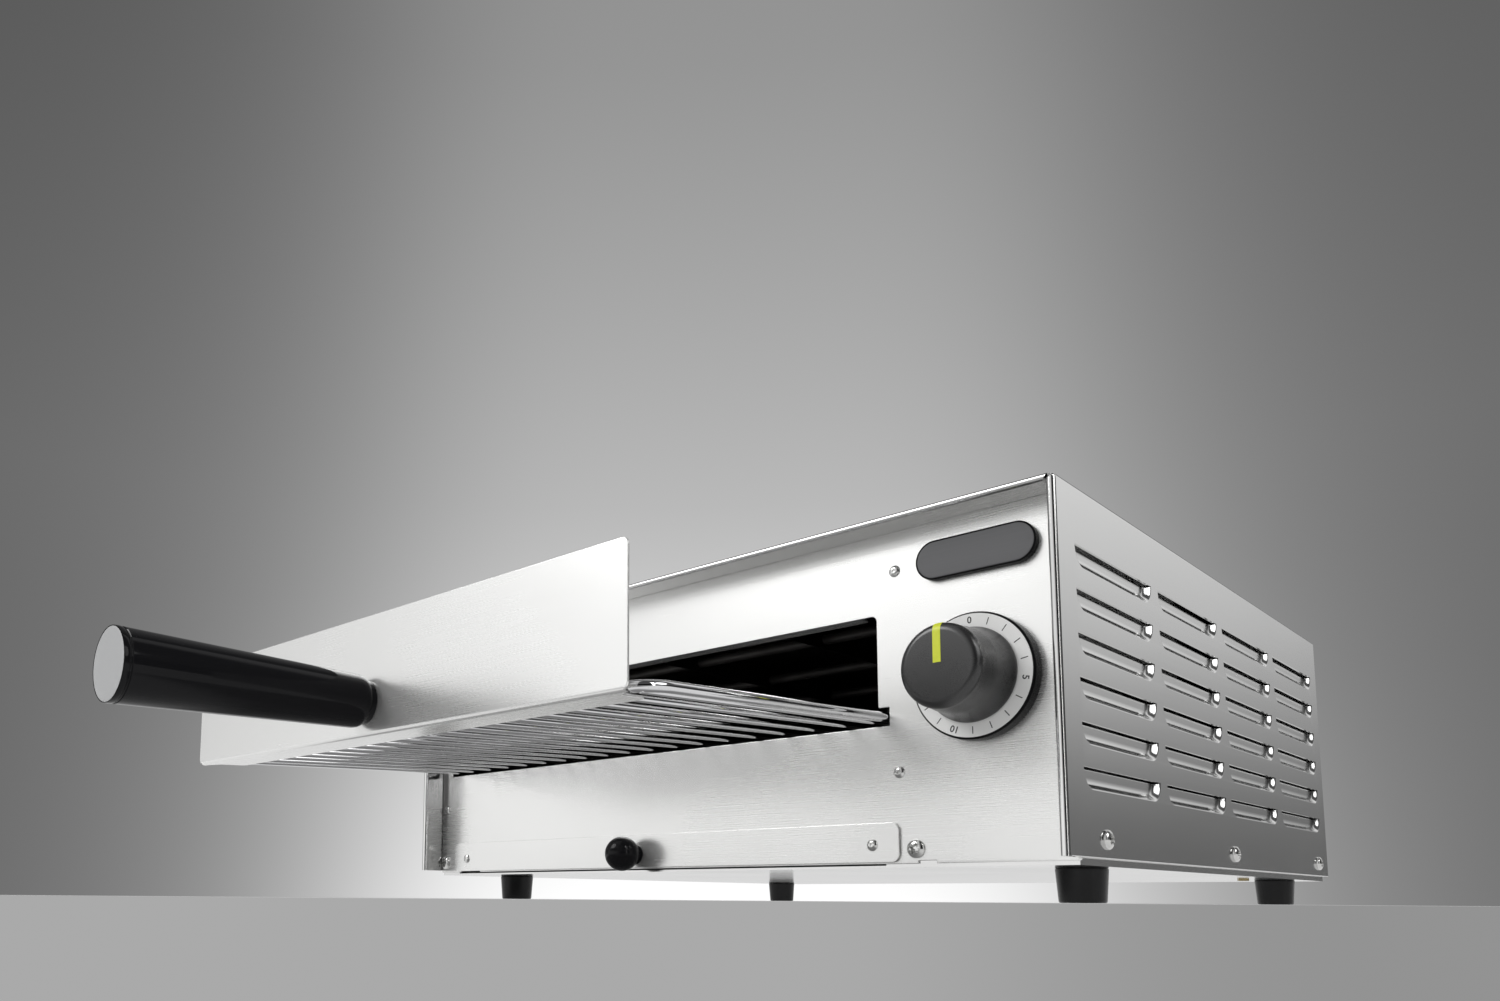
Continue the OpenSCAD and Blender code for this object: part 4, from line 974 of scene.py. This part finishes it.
def knob_profile(s):
    """Side of the timer knob from the dial to its flat front: (radius, height)."""
    base, tip = mm(s.knob_base), mm(s.knob_front)
    tall = KNOB_HIGH.y - KNOB_LOW.y - 0.3
    r = 4.5
    return (
        [(base - 0.5, 0), (base - 0.12, 0.15), (base, 0.5), (base, 1.2), (base - 0.12, 1.7), (base - 0.5, 2.6),
         (base - 0.85, 3.5), (base - 1.2, 4.6), (base - 1.55, 6), (base - 1.85, 7.5), (base - 2.1, 9.5),
         (base - 2.3, 11.5), (base - 2.45, 14.5), ((base + tip) / 2 - 0.95, tall * 0.55), (tip - 0.15, tall - r - 3)]
        + [(tip - r + r * math.cos(a), tall - r + r * math.sin(a)) for a in (math.radians(9 * i) for i in range(11))]
    )


class OVEN_OT_timer_knob(bpy.types.Operator):
    """Timer knob with a waisted side, a rounded front edge and its coloured pointer"""

    bl_idname = "oven.timer_knob"
    bl_label = "Timer knob"

    def execute(self, context):
        s = sizes()
        centre = facing((TIMER_X, KNOB_HIGH.y, TIMER_Z), (0, -1, 0))
        side = knob_profile(s)
        tall = side[-1][1]
        shell = Form()
        shell.lathe([(3.1, 0)] + side + [(10, tall + 0.1), (0, tall + 0.2)], centre, 96)
        piece(shell, "timer_knob_moulding", knob_grey(), "timer_rotor", ("timer_knob",))
        self.pointer(s, side, tall, centre)
        return {"FINISHED"}

    @staticmethod
    def pointer(s, side, tall, centre):
        """A painted strip that runs from the front face over the rounded edge."""
        half, lift = mm(s.pointer) / 2, 0.22
        path = [(1.0, tall + 0.18), (8, tall + 0.12)] + side[:-13:-1]
        form = Form()
        rings = []
        for r, h in path:
            across = []
            for x, up in ((-half, -0.25), (-half, lift * 0.6), (-half + 0.2, lift), (half - 0.2, lift), (half, lift * 0.6), (half, -0.25)):
                reach = math.sqrt(max(0.01, r * r - x * x)) if r > half else r
                slope = (reach - side[-1][0]) / 4.5
                tilt = min(1.0, max(0.0, slope))
                across.append((x, reach + up * math.sin(tilt * math.pi / 2), h + up * math.cos(tilt * math.pi / 2)))
            rings.append(form.ring(across, centre))
        form.loft(rings)
        piece(form, "knob_pointer_strip", pointer_paint(), "timer_rotor", ("knob_pointer",))


# Rack and handle


def rack_run():
    """Placement along the rack's sloping run: X across, Y along the rods to the rear, Z up from their underside."""
    slope = math.radians(2.7)
    lift = mm(sizes().slot_low) + 1.5
    return Matrix.Translation((SLOT_X, PANEL_Y, lift)) @ Matrix.Rotation(slope, 4, "X")


class OVEN_OT_rack(bpy.types.Operator):
    """Rack plate with its folded flange, looped frame rod and welded rods"""

    bl_idname = "oven.rack"
    bl_label = "Rack"

    out = 200.8
    deep = 370
    setback = 13

    def execute(self, context):
        s = sizes()
        run = rack_run()
        sheet = mm(s.sheet)
        self.plate(s, run, sheet)
        wires = Form()
        self.frame_rod(wires, s, run)
        front_end = self.setback - self.out
        rear_end = front_end + self.deep - mm(s.frame_rod)
        half = (RACK_HIGH.x - RACK_LOW.x - mm(s.frame_rod)) / 2
        r = mm(s.rod) / 2
        side_x = half - (mm(s.frame_rod) + mm(s.rod)) / 2 - 0.9
        each_side = int((side_x - 2 * r) // mm(s.rod_pitch))
        for i in range(-each_side, each_side + 1):
            wires.rod((i * mm(s.rod_pitch), front_end, r), rear_end - front_end, r, run)
        for x in (-side_x, side_x):
            wires.rod((x, front_end + 3, r), rear_end - front_end - 6, r, run)
        piece(wires, "wire_rack_rods", chromed_wire(), "rack", ("wire_rack",), even=False)
        return {"FINISHED"}

    def plate(self, s, run, sheet):
        form = Form()
        low, high = PLATE_LOW, PLATE_HIGH
        bottom = GRIP_Z - 17.6
        half_front, half_rear = (high.x - low.x) / 2 - 2.5, (high.x - low.x) / 2 - 12
        fold = 2
        base = bottom + fold - 0.5
        outline = (
            [(SLOT_X - half_front, base), (SLOT_X + half_front, base), (SLOT_X + half_front, bottom + 0.75)]
            + arc(high.x - 3.5, bottom + 4.1, 3.5, -73, 0, 7) + arc(high.x - 3.5, high.z - 3.5, 3.5, 0, 90, 8)
            + arc(low.x + 3.5, high.z - 3.5, 3.5, 90, 180, 8) + arc(low.x + 3.5, bottom + 4.1, 3.5, 180, 253, 7)
            + [(SLOT_X - half_front, bottom + 0.75)]
        )
        bolt = circle(SLOT_X, GRIP_Z, 3.1, 24)
        form.plate(outline, [bolt], sheet, front(low.y), 0.35)
        deep = 25
        outline = (
            [(-half_front, fold), (half_front, fold), (half_front, fold + 1), (half_rear, 9)]
            + arc(half_rear - 3, deep - 3, 3, 0, 90, 6)
            + arc(3 - half_rear, deep - 3, 3, 90, 180, 6)
            + [(-half_rear, 9), (-half_front, fold + 1)]
        )
        form.plate(outline, [], sheet, run @ Matrix.Translation((0, -self.out - 1.2, 0)), 0.3)
        nose = (
            [(fold + 1, sheet), (fold + 1, 0)] + arc(fold, fold, fold, 270, 184, 12) + [(0.6, fold + 0.4)]
            + arc(fold, fold, fold - sheet, 180, 270, 8)
        )
        rings = [
            form.ring([(x, low.y + y, bottom + z - 0.02) for y, z in nose])
            for x in (SLOT_X - half_front, SLOT_X + half_front)
        ]
        OVEN_OT_outer_cover.strip_of(form, rings)
        piece(form, "rack_plate_sheet", brushed_steel("X", "plate"), "rack", ("rack_plate",))

    def frame_rod(self, form, s, run):
        half = (RACK_HIGH.x - RACK_LOW.x - mm(s.frame_rod)) / 2
        near = self.setback - self.out
        far = near + self.deep - mm(s.frame_rod)
        bend, up = 16, 3.3
        corners = [(half - bend, near + bend, -90), (half - bend, far - bend, 0), (bend - half, far - bend, 90),
                   (bend - half, near + bend, 180)]
        path = [run @ Vector((x, y, up)) for cx, cy, a in corners for x, y in arc(cx, cy, bend, a, a + 90, 10)]
        form.tube(path, mm(s.frame_rod) / 2, run.to_3x3() @ Vector((0, 0, 1)), closed=True, steps=22)


class OVEN_OT_handle(bpy.types.Operator):
    """Tapered gloss handle with its root collar and the pale cap in its end"""

    bl_idname = "oven.handle"
    bl_label = "Handle"

    def execute(self, context):
        s = sizes()
        at_plate = facing((SLOT_X, PLATE_LOW.y, GRIP_Z), (0, -1, 0))
        root, end = mm(s.grip_root), mm(s.grip_end)
        collar_r, collar_t = 11.5, 3
        long = PLATE_LOW.y - GRIP_LOW.y
        slope = (end - root) / (long - collar_t)
        collar = Form()
        collar.lathe([(3.1, 0), (collar_r - 0.3, 0), (collar_r, 0.3), (collar_r, collar_t + 0.05), (3.1, collar_t + 0.05)],
                     at_plate, 64)
        piece(collar, "handle_collar_ring", gloss_black(), "rack", ("handle_collar",))
        grip = Form()
        body = [(3.1, collar_t), (collar_r - 0.2, collar_t), (root - 1.6, collar_t + 0.35), (root - 0.9, collar_t + 0.95),
                (root - 0.4, collar_t + 1.9), (root - 0.05, collar_t + 3.4), (root + slope * 6, collar_t + 6)]
        for share in (0.2, 0.4, 0.6, 0.8):
            h = collar_t + 6 + (long - collar_t - 12) * share
            body.append((root + slope * (h - collar_t), h))
        groove = long - 4
        body += [(end - slope * 6, long - 6), (end - 0.12, groove - 0.3), (end - 0.5, groove + 0.05), (end - 0.55, groove + 0.5),
                 (end - 0.3, groove + 0.95), (end - 0.03, groove + 1.3), (end, long - 1.6), (end - 0.05, long - 0.8),
                 (end - 0.12, long - 0.3), (end - 0.25, long - 0.1), (end - 0.4, long - 0.1), (end - 0.45, long - 0.35),
                 (end - 0.45, long - 1.9), (0, long - 1.9)]
        grip.lathe(body, at_plate, 96)
        piece(grip, "handle_grip_moulding", gloss_black(), "rack", ("handle_grip",))
        cap = Form()
        rim = end - 0.5
        cap.lathe([(0, long - 1.85), (rim, long - 1.85), (rim, long - 0.5), (rim - 0.1, long - 0.25), (rim - 0.4, long - 0.12),
                   (rim - 1.2, long - 0.08), (rim * 0.5, long - 0.03), (0, long)], at_plate, 96)
        piece(cap, "handle_cap_disc", cap_grey(), "rack", ("handle_cap",))
        return {"FINISHED"}


# Crumb tray


class OVEN_OT_crumb_tray(bpy.types.Operator):
    """Crumb tray's front plate and ball knob"""

    bl_idname = "oven.crumb_tray"
    bl_label = "Crumb tray"

    def execute(self, context):
        s = sizes()
        low, high = TRAY_LOW, TRAY_HIGH
        form = Form()
        outline = round_rect(low.x, low.z, high.x, high.z, 4.5, 8)
        knob_x, knob_z = (BALL_LOW.x + BALL_HIGH.x) / 2, (BALL_LOW.z + BALL_HIGH.z) / 2
        form.plate(outline, [circle(knob_x, knob_z, 2.1, 24)], mm(s.sheet), front(low.y), 0.22)
        piece(form, "tray_front_plate", brushed_steel("X", "panel"), "tray", ("tray_front",))
        r = mm(s.ball) / 2
        out = low.y - BALL_LOW.y - r
        neck = r * 0.48
        meet = math.degrees(math.asin(neck / r))
        profile = [(2.1, 0), (neck + 1.0, 0), (neck + 1.2, 0.2), (neck + 1.2, 0.9), (neck + 0.9, 1.2), (neck + 0.25, 1.5), (neck, 2.0)]
        profile += [(r * math.sin(a), out - r * math.cos(a)) for a in
                    (math.radians(meet + 3 + (177 - meet) * i / 26) for i in range(27))]
        profile[-1] = (0, out + r)
        ball = Form()
        ball.lathe(profile, facing((knob_x, low.y, knob_z), (0, -1, 0)), 64)
        piece(ball, "tray_ball_knob", gloss_black(), "tray", ("tray_knob",))
        return {"FINISHED"}


# Fasteners and feet


def islands(node):
    """Centres and boxes, in millimetres, of a CAD node's separate solids."""
    mesh = bpy.data.objects[node].data
    work = bmesh.new()
    work.from_mesh(mesh)
    bmesh.ops.remove_doubles(work, verts=work.verts, dist=1e-6)
    left, found = set(work.verts), []
    while left:
        todo, group = [left.pop()], []
        while todo:
            vert = todo.pop()
            group.append(vert.co / MM)
            for edge in vert.link_edges:
                other = edge.other_vert(vert)
                if other in left:
                    left.remove(other)
                    todo.append(other)
        low = Vector(min(c[i] for c in group) for i in range(3))
        high = Vector(max(c[i] for c in group) for i in range(3))
        found.append((low, high))
    work.free()
    return sorted(found, key=lambda pair: tuple(pair[0]))


def screw_head(form, place, radius, height):
    """Pan head with a rounded cross recess, drawn as a fine polar grid."""
    arm_w, arm_l, deep = radius * 0.17, radius * 0.6, height * 0.8
    radii = [radius * i / 20 for i in range(21)]
    steps = 64

    def dome(r):
        share = r / radius
        return height * (1 - 0.62 * share ** 3.2) if share < 0.97 else height * 0.3

    def cut(x, y):
        best = 0.0
        for a, b in ((abs(x), abs(y)), (abs(y), abs(x))):
            along = min(1, max(0, (arm_l - a) / (radius * 0.08)))
            taper = arm_w * (1.25 - 0.45 * a / arm_l) if a < arm_l else arm_w
            across = min(1, max(0, (taper - b) / (radius * 0.045) + 0.5))
            best = max(best, along * across)
        return best * best * (3 - 2 * best)

    rings = [form.ring([(0, 0, dome(0) - deep)], place)]
    for r in radii[1:]:
        rings.append(form.ring([(x, y, dome(r) - deep * cut(x, y)) for x, y in circle(0, 0, r, steps)], place))
    rings.append(form.ring([(x, y, 0) for x, y in circle(0, 0, radius, steps)], place))
    rings.append(form.ring([(0, 0, -0.6)], place))
    form.loft(rings, caps=False)


def rivet_head(form, place, radius, height):
    """Low dome with a dimple in its middle, where the mandrel broke off."""
    profile = [(0, height * 0.72), (radius * 0.16, height * 0.74), (radius * 0.22, height * 0.96), (radius * 0.34, height),
               (radius * 0.55, height * 0.9), (radius * 0.75, height * 0.7), (radius * 0.9, height * 0.4),
               (radius * 0.98, height * 0.15), (radius, 0), (0, -0.4)]
    form.lathe(profile, place, 40, caps=False)


class OVEN_OT_fasteners(bpy.types.Operator):
    """Cross-recess screws and blind rivets of the case and the crumb tray"""

    bl_idname = "oven.fasteners"
    bl_label = "Fasteners"

    def execute(self, context):
        head = mm(sizes().screw_head)
        for node, normal, turn in (
            ("panel_screws", (0, -1, 0), 12), ("side_screws_left", (-1, 0, 0), 33), ("side_screws_right", (1, 0, 0), 40),
            ("rear_screws", (0, 1, 0), 20),
        ):
            self.heads(node, normal, turn, head, 2.6, screw_head, "case")
        self.heads("panel_rivets", (0, -1, 0), 0, 3.2, 1.5, rivet_head, "case")
        self.heads("tray_rivets", (0, -1, 0), 0, 3.2, 1.5, rivet_head, "tray")
        return {"FINISHED"}

    @staticmethod
    def heads(node, normal, turn, radius, height, draw, body):
        """One head on each of the node's solids, seated where the CAD head sits."""
        form = Form()
        axis = Vector(normal)
        for number, (low, high) in enumerate(islands(node)):
            seat = (low + high) / 2
            for i in range(3):
                if axis[i]:
                    seat[i] = (high[i] if axis[i] > 0 else low[i]) - axis[i] * height
            spin = Matrix.Rotation(math.radians(turn + 47 * number), 4, "Z")
            draw(form, facing(seat, axis) @ spin, radius, height)
        piece(form, node + "_heads", zinc_plate(), body, (node,), crease=50, even=False)


class OVEN_OT_feet(bpy.types.Operator):
    """Four tapered rubber feet with a rounded lower edge"""

    bl_idname = "oven.feet"
    bl_label = "Feet"

    def execute(self, context):
        for node in ("foot_front_left", "foot_front_right", "foot_rear_left", "foot_rear_right"):
            low, high = cad_box(node)
            top_r = (high.x - low.x) / 2
            low_r, tall = top_r - 1.2, high.z
            profile = [(4.6, 6), (4.6, 0.3), (4.9, 0), (low_r - 1.3, 0), (low_r - 0.6, 0.12), (low_r - 0.15, 0.5),
                       (low_r, 1.2), (top_r - 0.12, tall - 1.6), (top_r, tall - 0.9), (top_r - 0.08, tall - 0.4),
                       (top_r - 0.35, tall - 0.1), (top_r - 0.8, tall), (0, tall), ]
            form = Form()
            middle = (low + high) / 2
            form.lathe(profile, Matrix.Translation((middle.x, middle.y, 0)), 64)
            piece(form, node + "_rubber", rubber(), "case", (node,))
        return {"FINISHED"}


class OVEN_OT_inner_parts(bpy.types.Operator):
    """Finishes of the pieces that keep their CAD shape"""

    bl_idname = "oven.inner_parts"
    bl_label = "Inner parts"

    def execute(self, context):
        groups = (
            (brushed_steel("X", "steel"), ("base_pan", "rear_panel", "heat_shield", "tray_pan",
                                            "tray_front_wall")),
            (liner_steel(), ("cooking_chamber", "rack_guide_left", "rack_guide_right", "tray_runner_left",
                             "tray_runner_right", "upper_element_supports", "lower_element_supports")),
            (heater_sheath(), ("upper_element", "lower_element")),
            (ceramic(), ("element_bushes", "terminal_block", "thermal_cutout")),
            (zinc_plate(), ("element_studs", "timer_screws", "cutout_screws", "shield_screws", "foot_screws", "foot_nuts",
                            "handle_bolt", "handle_washer", "tray_knob_screw", "timer_shaft", "timer_body")),
            (brass(), ("terminal_screws", "earth_stud", "earth_nut")),
            (rubber(), ("mains_gland", "gland_nut", "gland_seal")),
        )
        for finish, nodes in groups:
            for node in nodes:
                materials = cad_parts[node].data.materials
                materials.clear()
                materials.append(finish)
        return {"FINISHED"}


# Studio


def studio_sky(fin):
    """Brightness of the studio by direction, as it shows behind the oven and in its sheet metal."""
    ray = fin.node("ShaderNodeTexCoord", output="Generated")
    x, y, z = (fin.node("ShaderNodeSeparateXYZ", inputs={0: ray}, output=i) for i in range(3))
    degrees = 180 / math.pi
    across = fin.node("ShaderNodeMath", {"operation": "ARCTAN2"}, {0: -x, 1: y}) * degrees
    up = fin.node("ShaderNodeMath", {"operation": "ARCSINE"}, {0: z}) * degrees

    def ramp(stops):
        """Display value by elevation, from stops in degrees."""
        grey = [(angle / 60, value / 2) for angle, value in stops]
        return fin.node("ShaderNodeValToRGB", {"stops": grey}, {0: up / 60}) * (2.0, 2.0, 2.0)

    def window(left, right, low, high, soft):
        """1 inside a patch of directions, in degrees from left to right and from low to high."""
        sides = across.step(left + soft, left) * across.step(right - soft, right)
        return sides * up.step(low - soft, low) * up.step(high + soft, high)

    glow = ramp([(0, 1.02), (5, 0.95), (10, 0.86), (15, 0.78), (20, 0.72), (24, 0.69), (28, 0.66), (39, 0.58), (60, 0.5)])
    dim = ramp([(0, 0.35), (10, 0.36), (20, 0.38), (39, 0.33), (60, 0.3)])
    side = ramp([(0, 0.38), (4, 0.49), (8, 0.65), (12, 0.8), (16, 0.88), (20, 0.95), (60, 0.95)])
    ahead = ramp([(0, 1.13), (5, 1.11), (9, 1.04), (14, 0.98), (20, 0.98), (30, 0.94), (60, 0.9)])
    off = (across - 38.0) / 22.0
    bell = 1.0 / (off ** 2.0 * off ** 2.0 + 1.0)
    sky = fin.mix(bell, dim, glow)
    sky = fin.mix(across.step(4, -13) * across.step(-42, -26), sky, side)
    sky = fin.mix(window(-42, -64, -1, 15, 6), sky, (0.2, 0.2, 0.2))
    sky = fin.mix(window(-116, -150, -3, 25, 6), sky, (0.12, 0.12, 0.12))
    below = fin.mix(across.step(10, 35), (0.57, 0.57, 0.57), (0.66, 0.66, 0.66))
    sky = fin.mix(up.step(0.03, -0.03), sky, below)
    toward = fin.node("ShaderNodeMath", {"operation": "COSINE"}, {0: (across - 156.0) / degrees})
    softbox = toward.step(math.cos(math.radians(62)), math.cos(math.radians(16))) * up.step(-4, 2)
    sky = fin.mix(softbox, sky, ahead)
    light = fin.node("ShaderNodeGamma", inputs={0: sky, 1: 2.2})
    light = fin.mix(window(-103, -108, -3, 50, 2.5), light, (2.6, 2.6, 2.6))
    return fin.mix(window(-102, -109, 40, 48, 2), light, (12.0, 12.0, 12.0))


class OVEN_OT_stage(bpy.types.Operator):
    """Pale floor, soft studio light and the camera at the photograph's angle"""

    bl_idname = "oven.stage"
    bl_label = "Stage"

    def execute(self, context):
        self.floor()
        self.world()
        self.lamps()
        self.camera()
        context.scene.view_settings.view_transform = "Standard"
        return {"FINISHED"}

    @staticmethod
    def floor():
        mesh = bpy.data.meshes.new("studio_floor")
        reach = 12
        mesh.from_pydata([(-reach, -reach, 0), (reach, -reach, 0), (reach, reach, 0), (-reach, reach, 0)], [], [(0, 1, 2, 3)])
        floor = bpy.data.objects.new("studio_floor", mesh)
        bpy.context.scene.collection.objects.link(floor)
        material = bpy.data.materials.new("studio floor")
        material.use_nodes = True
        fin = Finish(material.node_tree)
        shader = material.node_tree.nodes["Principled BSDF"]
        tone = fin.noise(3, 3)
        colour = tuple(colours().floor)
        material.node_tree.links.new(fin.mix(tone, shade(colour, 0.98), shade(colour, 1.02)).socket, shader.inputs["Base Color"])
        shader.inputs["Roughness"].default_value = 0.6
        shader.inputs["Specular IOR Level"].default_value = 0.2
        glossy = fin.node("ShaderNodeLightPath", output="Is Glossy Ray")
        across, ahead = (fin.node("ShaderNodeSeparateXYZ", inputs={0: fin.place()}, output=i) for i in range(2))
        # Painted shadows on the floor as reflections see it: near is a painted shadow in front of the camera, and
        # shaded is the rack's painted shadow on the floor in front of the oven. Glossy rays see the floor as an evenly
        # lit emission, painted down to 0.2 in these patches.
        near = across.step(-0.5, 0.05) * ahead.step(-0.36, -0.5)
        shaded = across.step(-0.24, -0.2) * across.step(0.2, 0.14) * ahead.step(-0.33, -0.28) * ahead.step(0.0, -0.06)
        near = near + shaded
        lit = fin.node("ShaderNodeEmission", inputs={0: fin.mix(near, (0.88, 0.88, 0.88), (0.2, 0.2, 0.2)), 1: 1.0})
        both = fin.node("ShaderNodeMixShader", inputs={0: glossy * 0.85, 1: Value(fin, shader.outputs[0]), 2: lit})
        material.node_tree.links.new(both.socket, material.node_tree.nodes["Material Output"].inputs["Surface"])
        mesh.materials.append(material)

    @staticmethod
    def world():
        world = bpy.data.worlds.new("studio")
        world.use_nodes = True
        bpy.context.scene.world = world
        tree = world.node_tree
        tree.nodes.clear()
        fin = Finish(tree)
        seen = fin.node("ShaderNodeBackground", inputs={0: studio_sky(fin), 1: 1.0})
        plain = fin.node("ShaderNodeBackground", inputs={0: (0.56, 0.56, 0.56, 1), 1: 1.0})
        shown = sum(fin.node("ShaderNodeLightPath", output=kind) for kind in
                    ("Is Camera Ray", "Is Glossy Ray", "Is Transmission Ray"))
        both = fin.node("ShaderNodeMixShader", inputs={0: shown, 1: plain, 2: seen})
        output = tree.nodes.new("ShaderNodeOutputWorld")
        tree.links.new(both.socket, output.inputs["Surface"])

    @staticmethod
    def lamps():
        for name, place, target, size, power in (
            ("key_softbox", (-1.3, -1.9, 1.9), (0, 0, 0.1), 1.6, 36),
            ("side_softbox", (2.2, 0.1, 1.5), (0.1, 0.1, 0.1), 1.4, 12),
        ):
            lamp = bpy.data.lights.new(name, "AREA")
            lamp.shape, lamp.size, lamp.energy = "DISK", size, power
            holder = bpy.data.objects.new(name, lamp)
            holder.location = place
            holder.rotation_euler = (Vector(target) - Vector(place)).to_track_quat("-Z", "Y").to_euler()
            bpy.context.scene.collection.objects.link(holder)

    @staticmethod
    def camera():
        lens = bpy.data.cameras.new("photo_view")
        lens.lens, lens.sensor_width, lens.sensor_fit = 26.546, 36, "HORIZONTAL"
        lens.shift_x, lens.shift_y = 0.1095, 0.1844
        camera = bpy.data.objects.new("photo_view", lens)
        camera.location = (0.440228, EDGE_Y * MM - 0.498776, 0.00002)
        camera.rotation_euler = [math.radians(a) for a in (96.31298, -0.43179, 45.33177)]
        bpy.context.scene.collection.objects.link(camera)
        bpy.context.scene.camera = camera


# Add-on


PIECES = (
    OVEN_OT_outer_cover, OVEN_OT_front_panel, OVEN_OT_badge, OVEN_OT_timer_dial, OVEN_OT_timer_knob, OVEN_OT_rack,
    OVEN_OT_handle, OVEN_OT_crumb_tray, OVEN_OT_fasteners, OVEN_OT_feet, OVEN_OT_inner_parts, OVEN_OT_stage,
)


class OVEN_PT_pieces(bpy.types.Panel):
    """Lists the oven's sizes, colours and pieces"""

    bl_idname = "OVEN_PT_pieces"
    bl_label = "Pizza oven"
    bl_space_type = "VIEW_3D"
    bl_region_type = "UI"
    bl_category = "Oven"

    def draw(self, context):
        for operator in PIECES:
            self.layout.operator(operator.bl_idname)
        for title, group in (("Sizes", context.scene.oven_sizes), ("Colours", context.scene.oven_colours)):
            box = self.layout.box()
            box.label(text=title)
            for name in group.__annotations__:
                box.prop(group, name)


CLASSES = (OvenSizes, OvenColours, *PIECES, OVEN_PT_pieces)


def register():
    for kind in CLASSES:
        bpy.utils.register_class(kind)
    bpy.types.Scene.oven_sizes = PointerProperty(type=OvenSizes)
    bpy.types.Scene.oven_colours = PointerProperty(type=OvenColours)


def unregister():
    del bpy.types.Scene.oven_colours
    del bpy.types.Scene.oven_sizes
    for kind in reversed(CLASSES):
        bpy.utils.unregister_class(kind)


def main():
    register()
    for operator in PIECES:
        group, name = operator.bl_idname.split(".")
        getattr(getattr(bpy.ops, group), name)()
    bpy.context.view_layer.update()


if __name__ == "__main__":
    main()
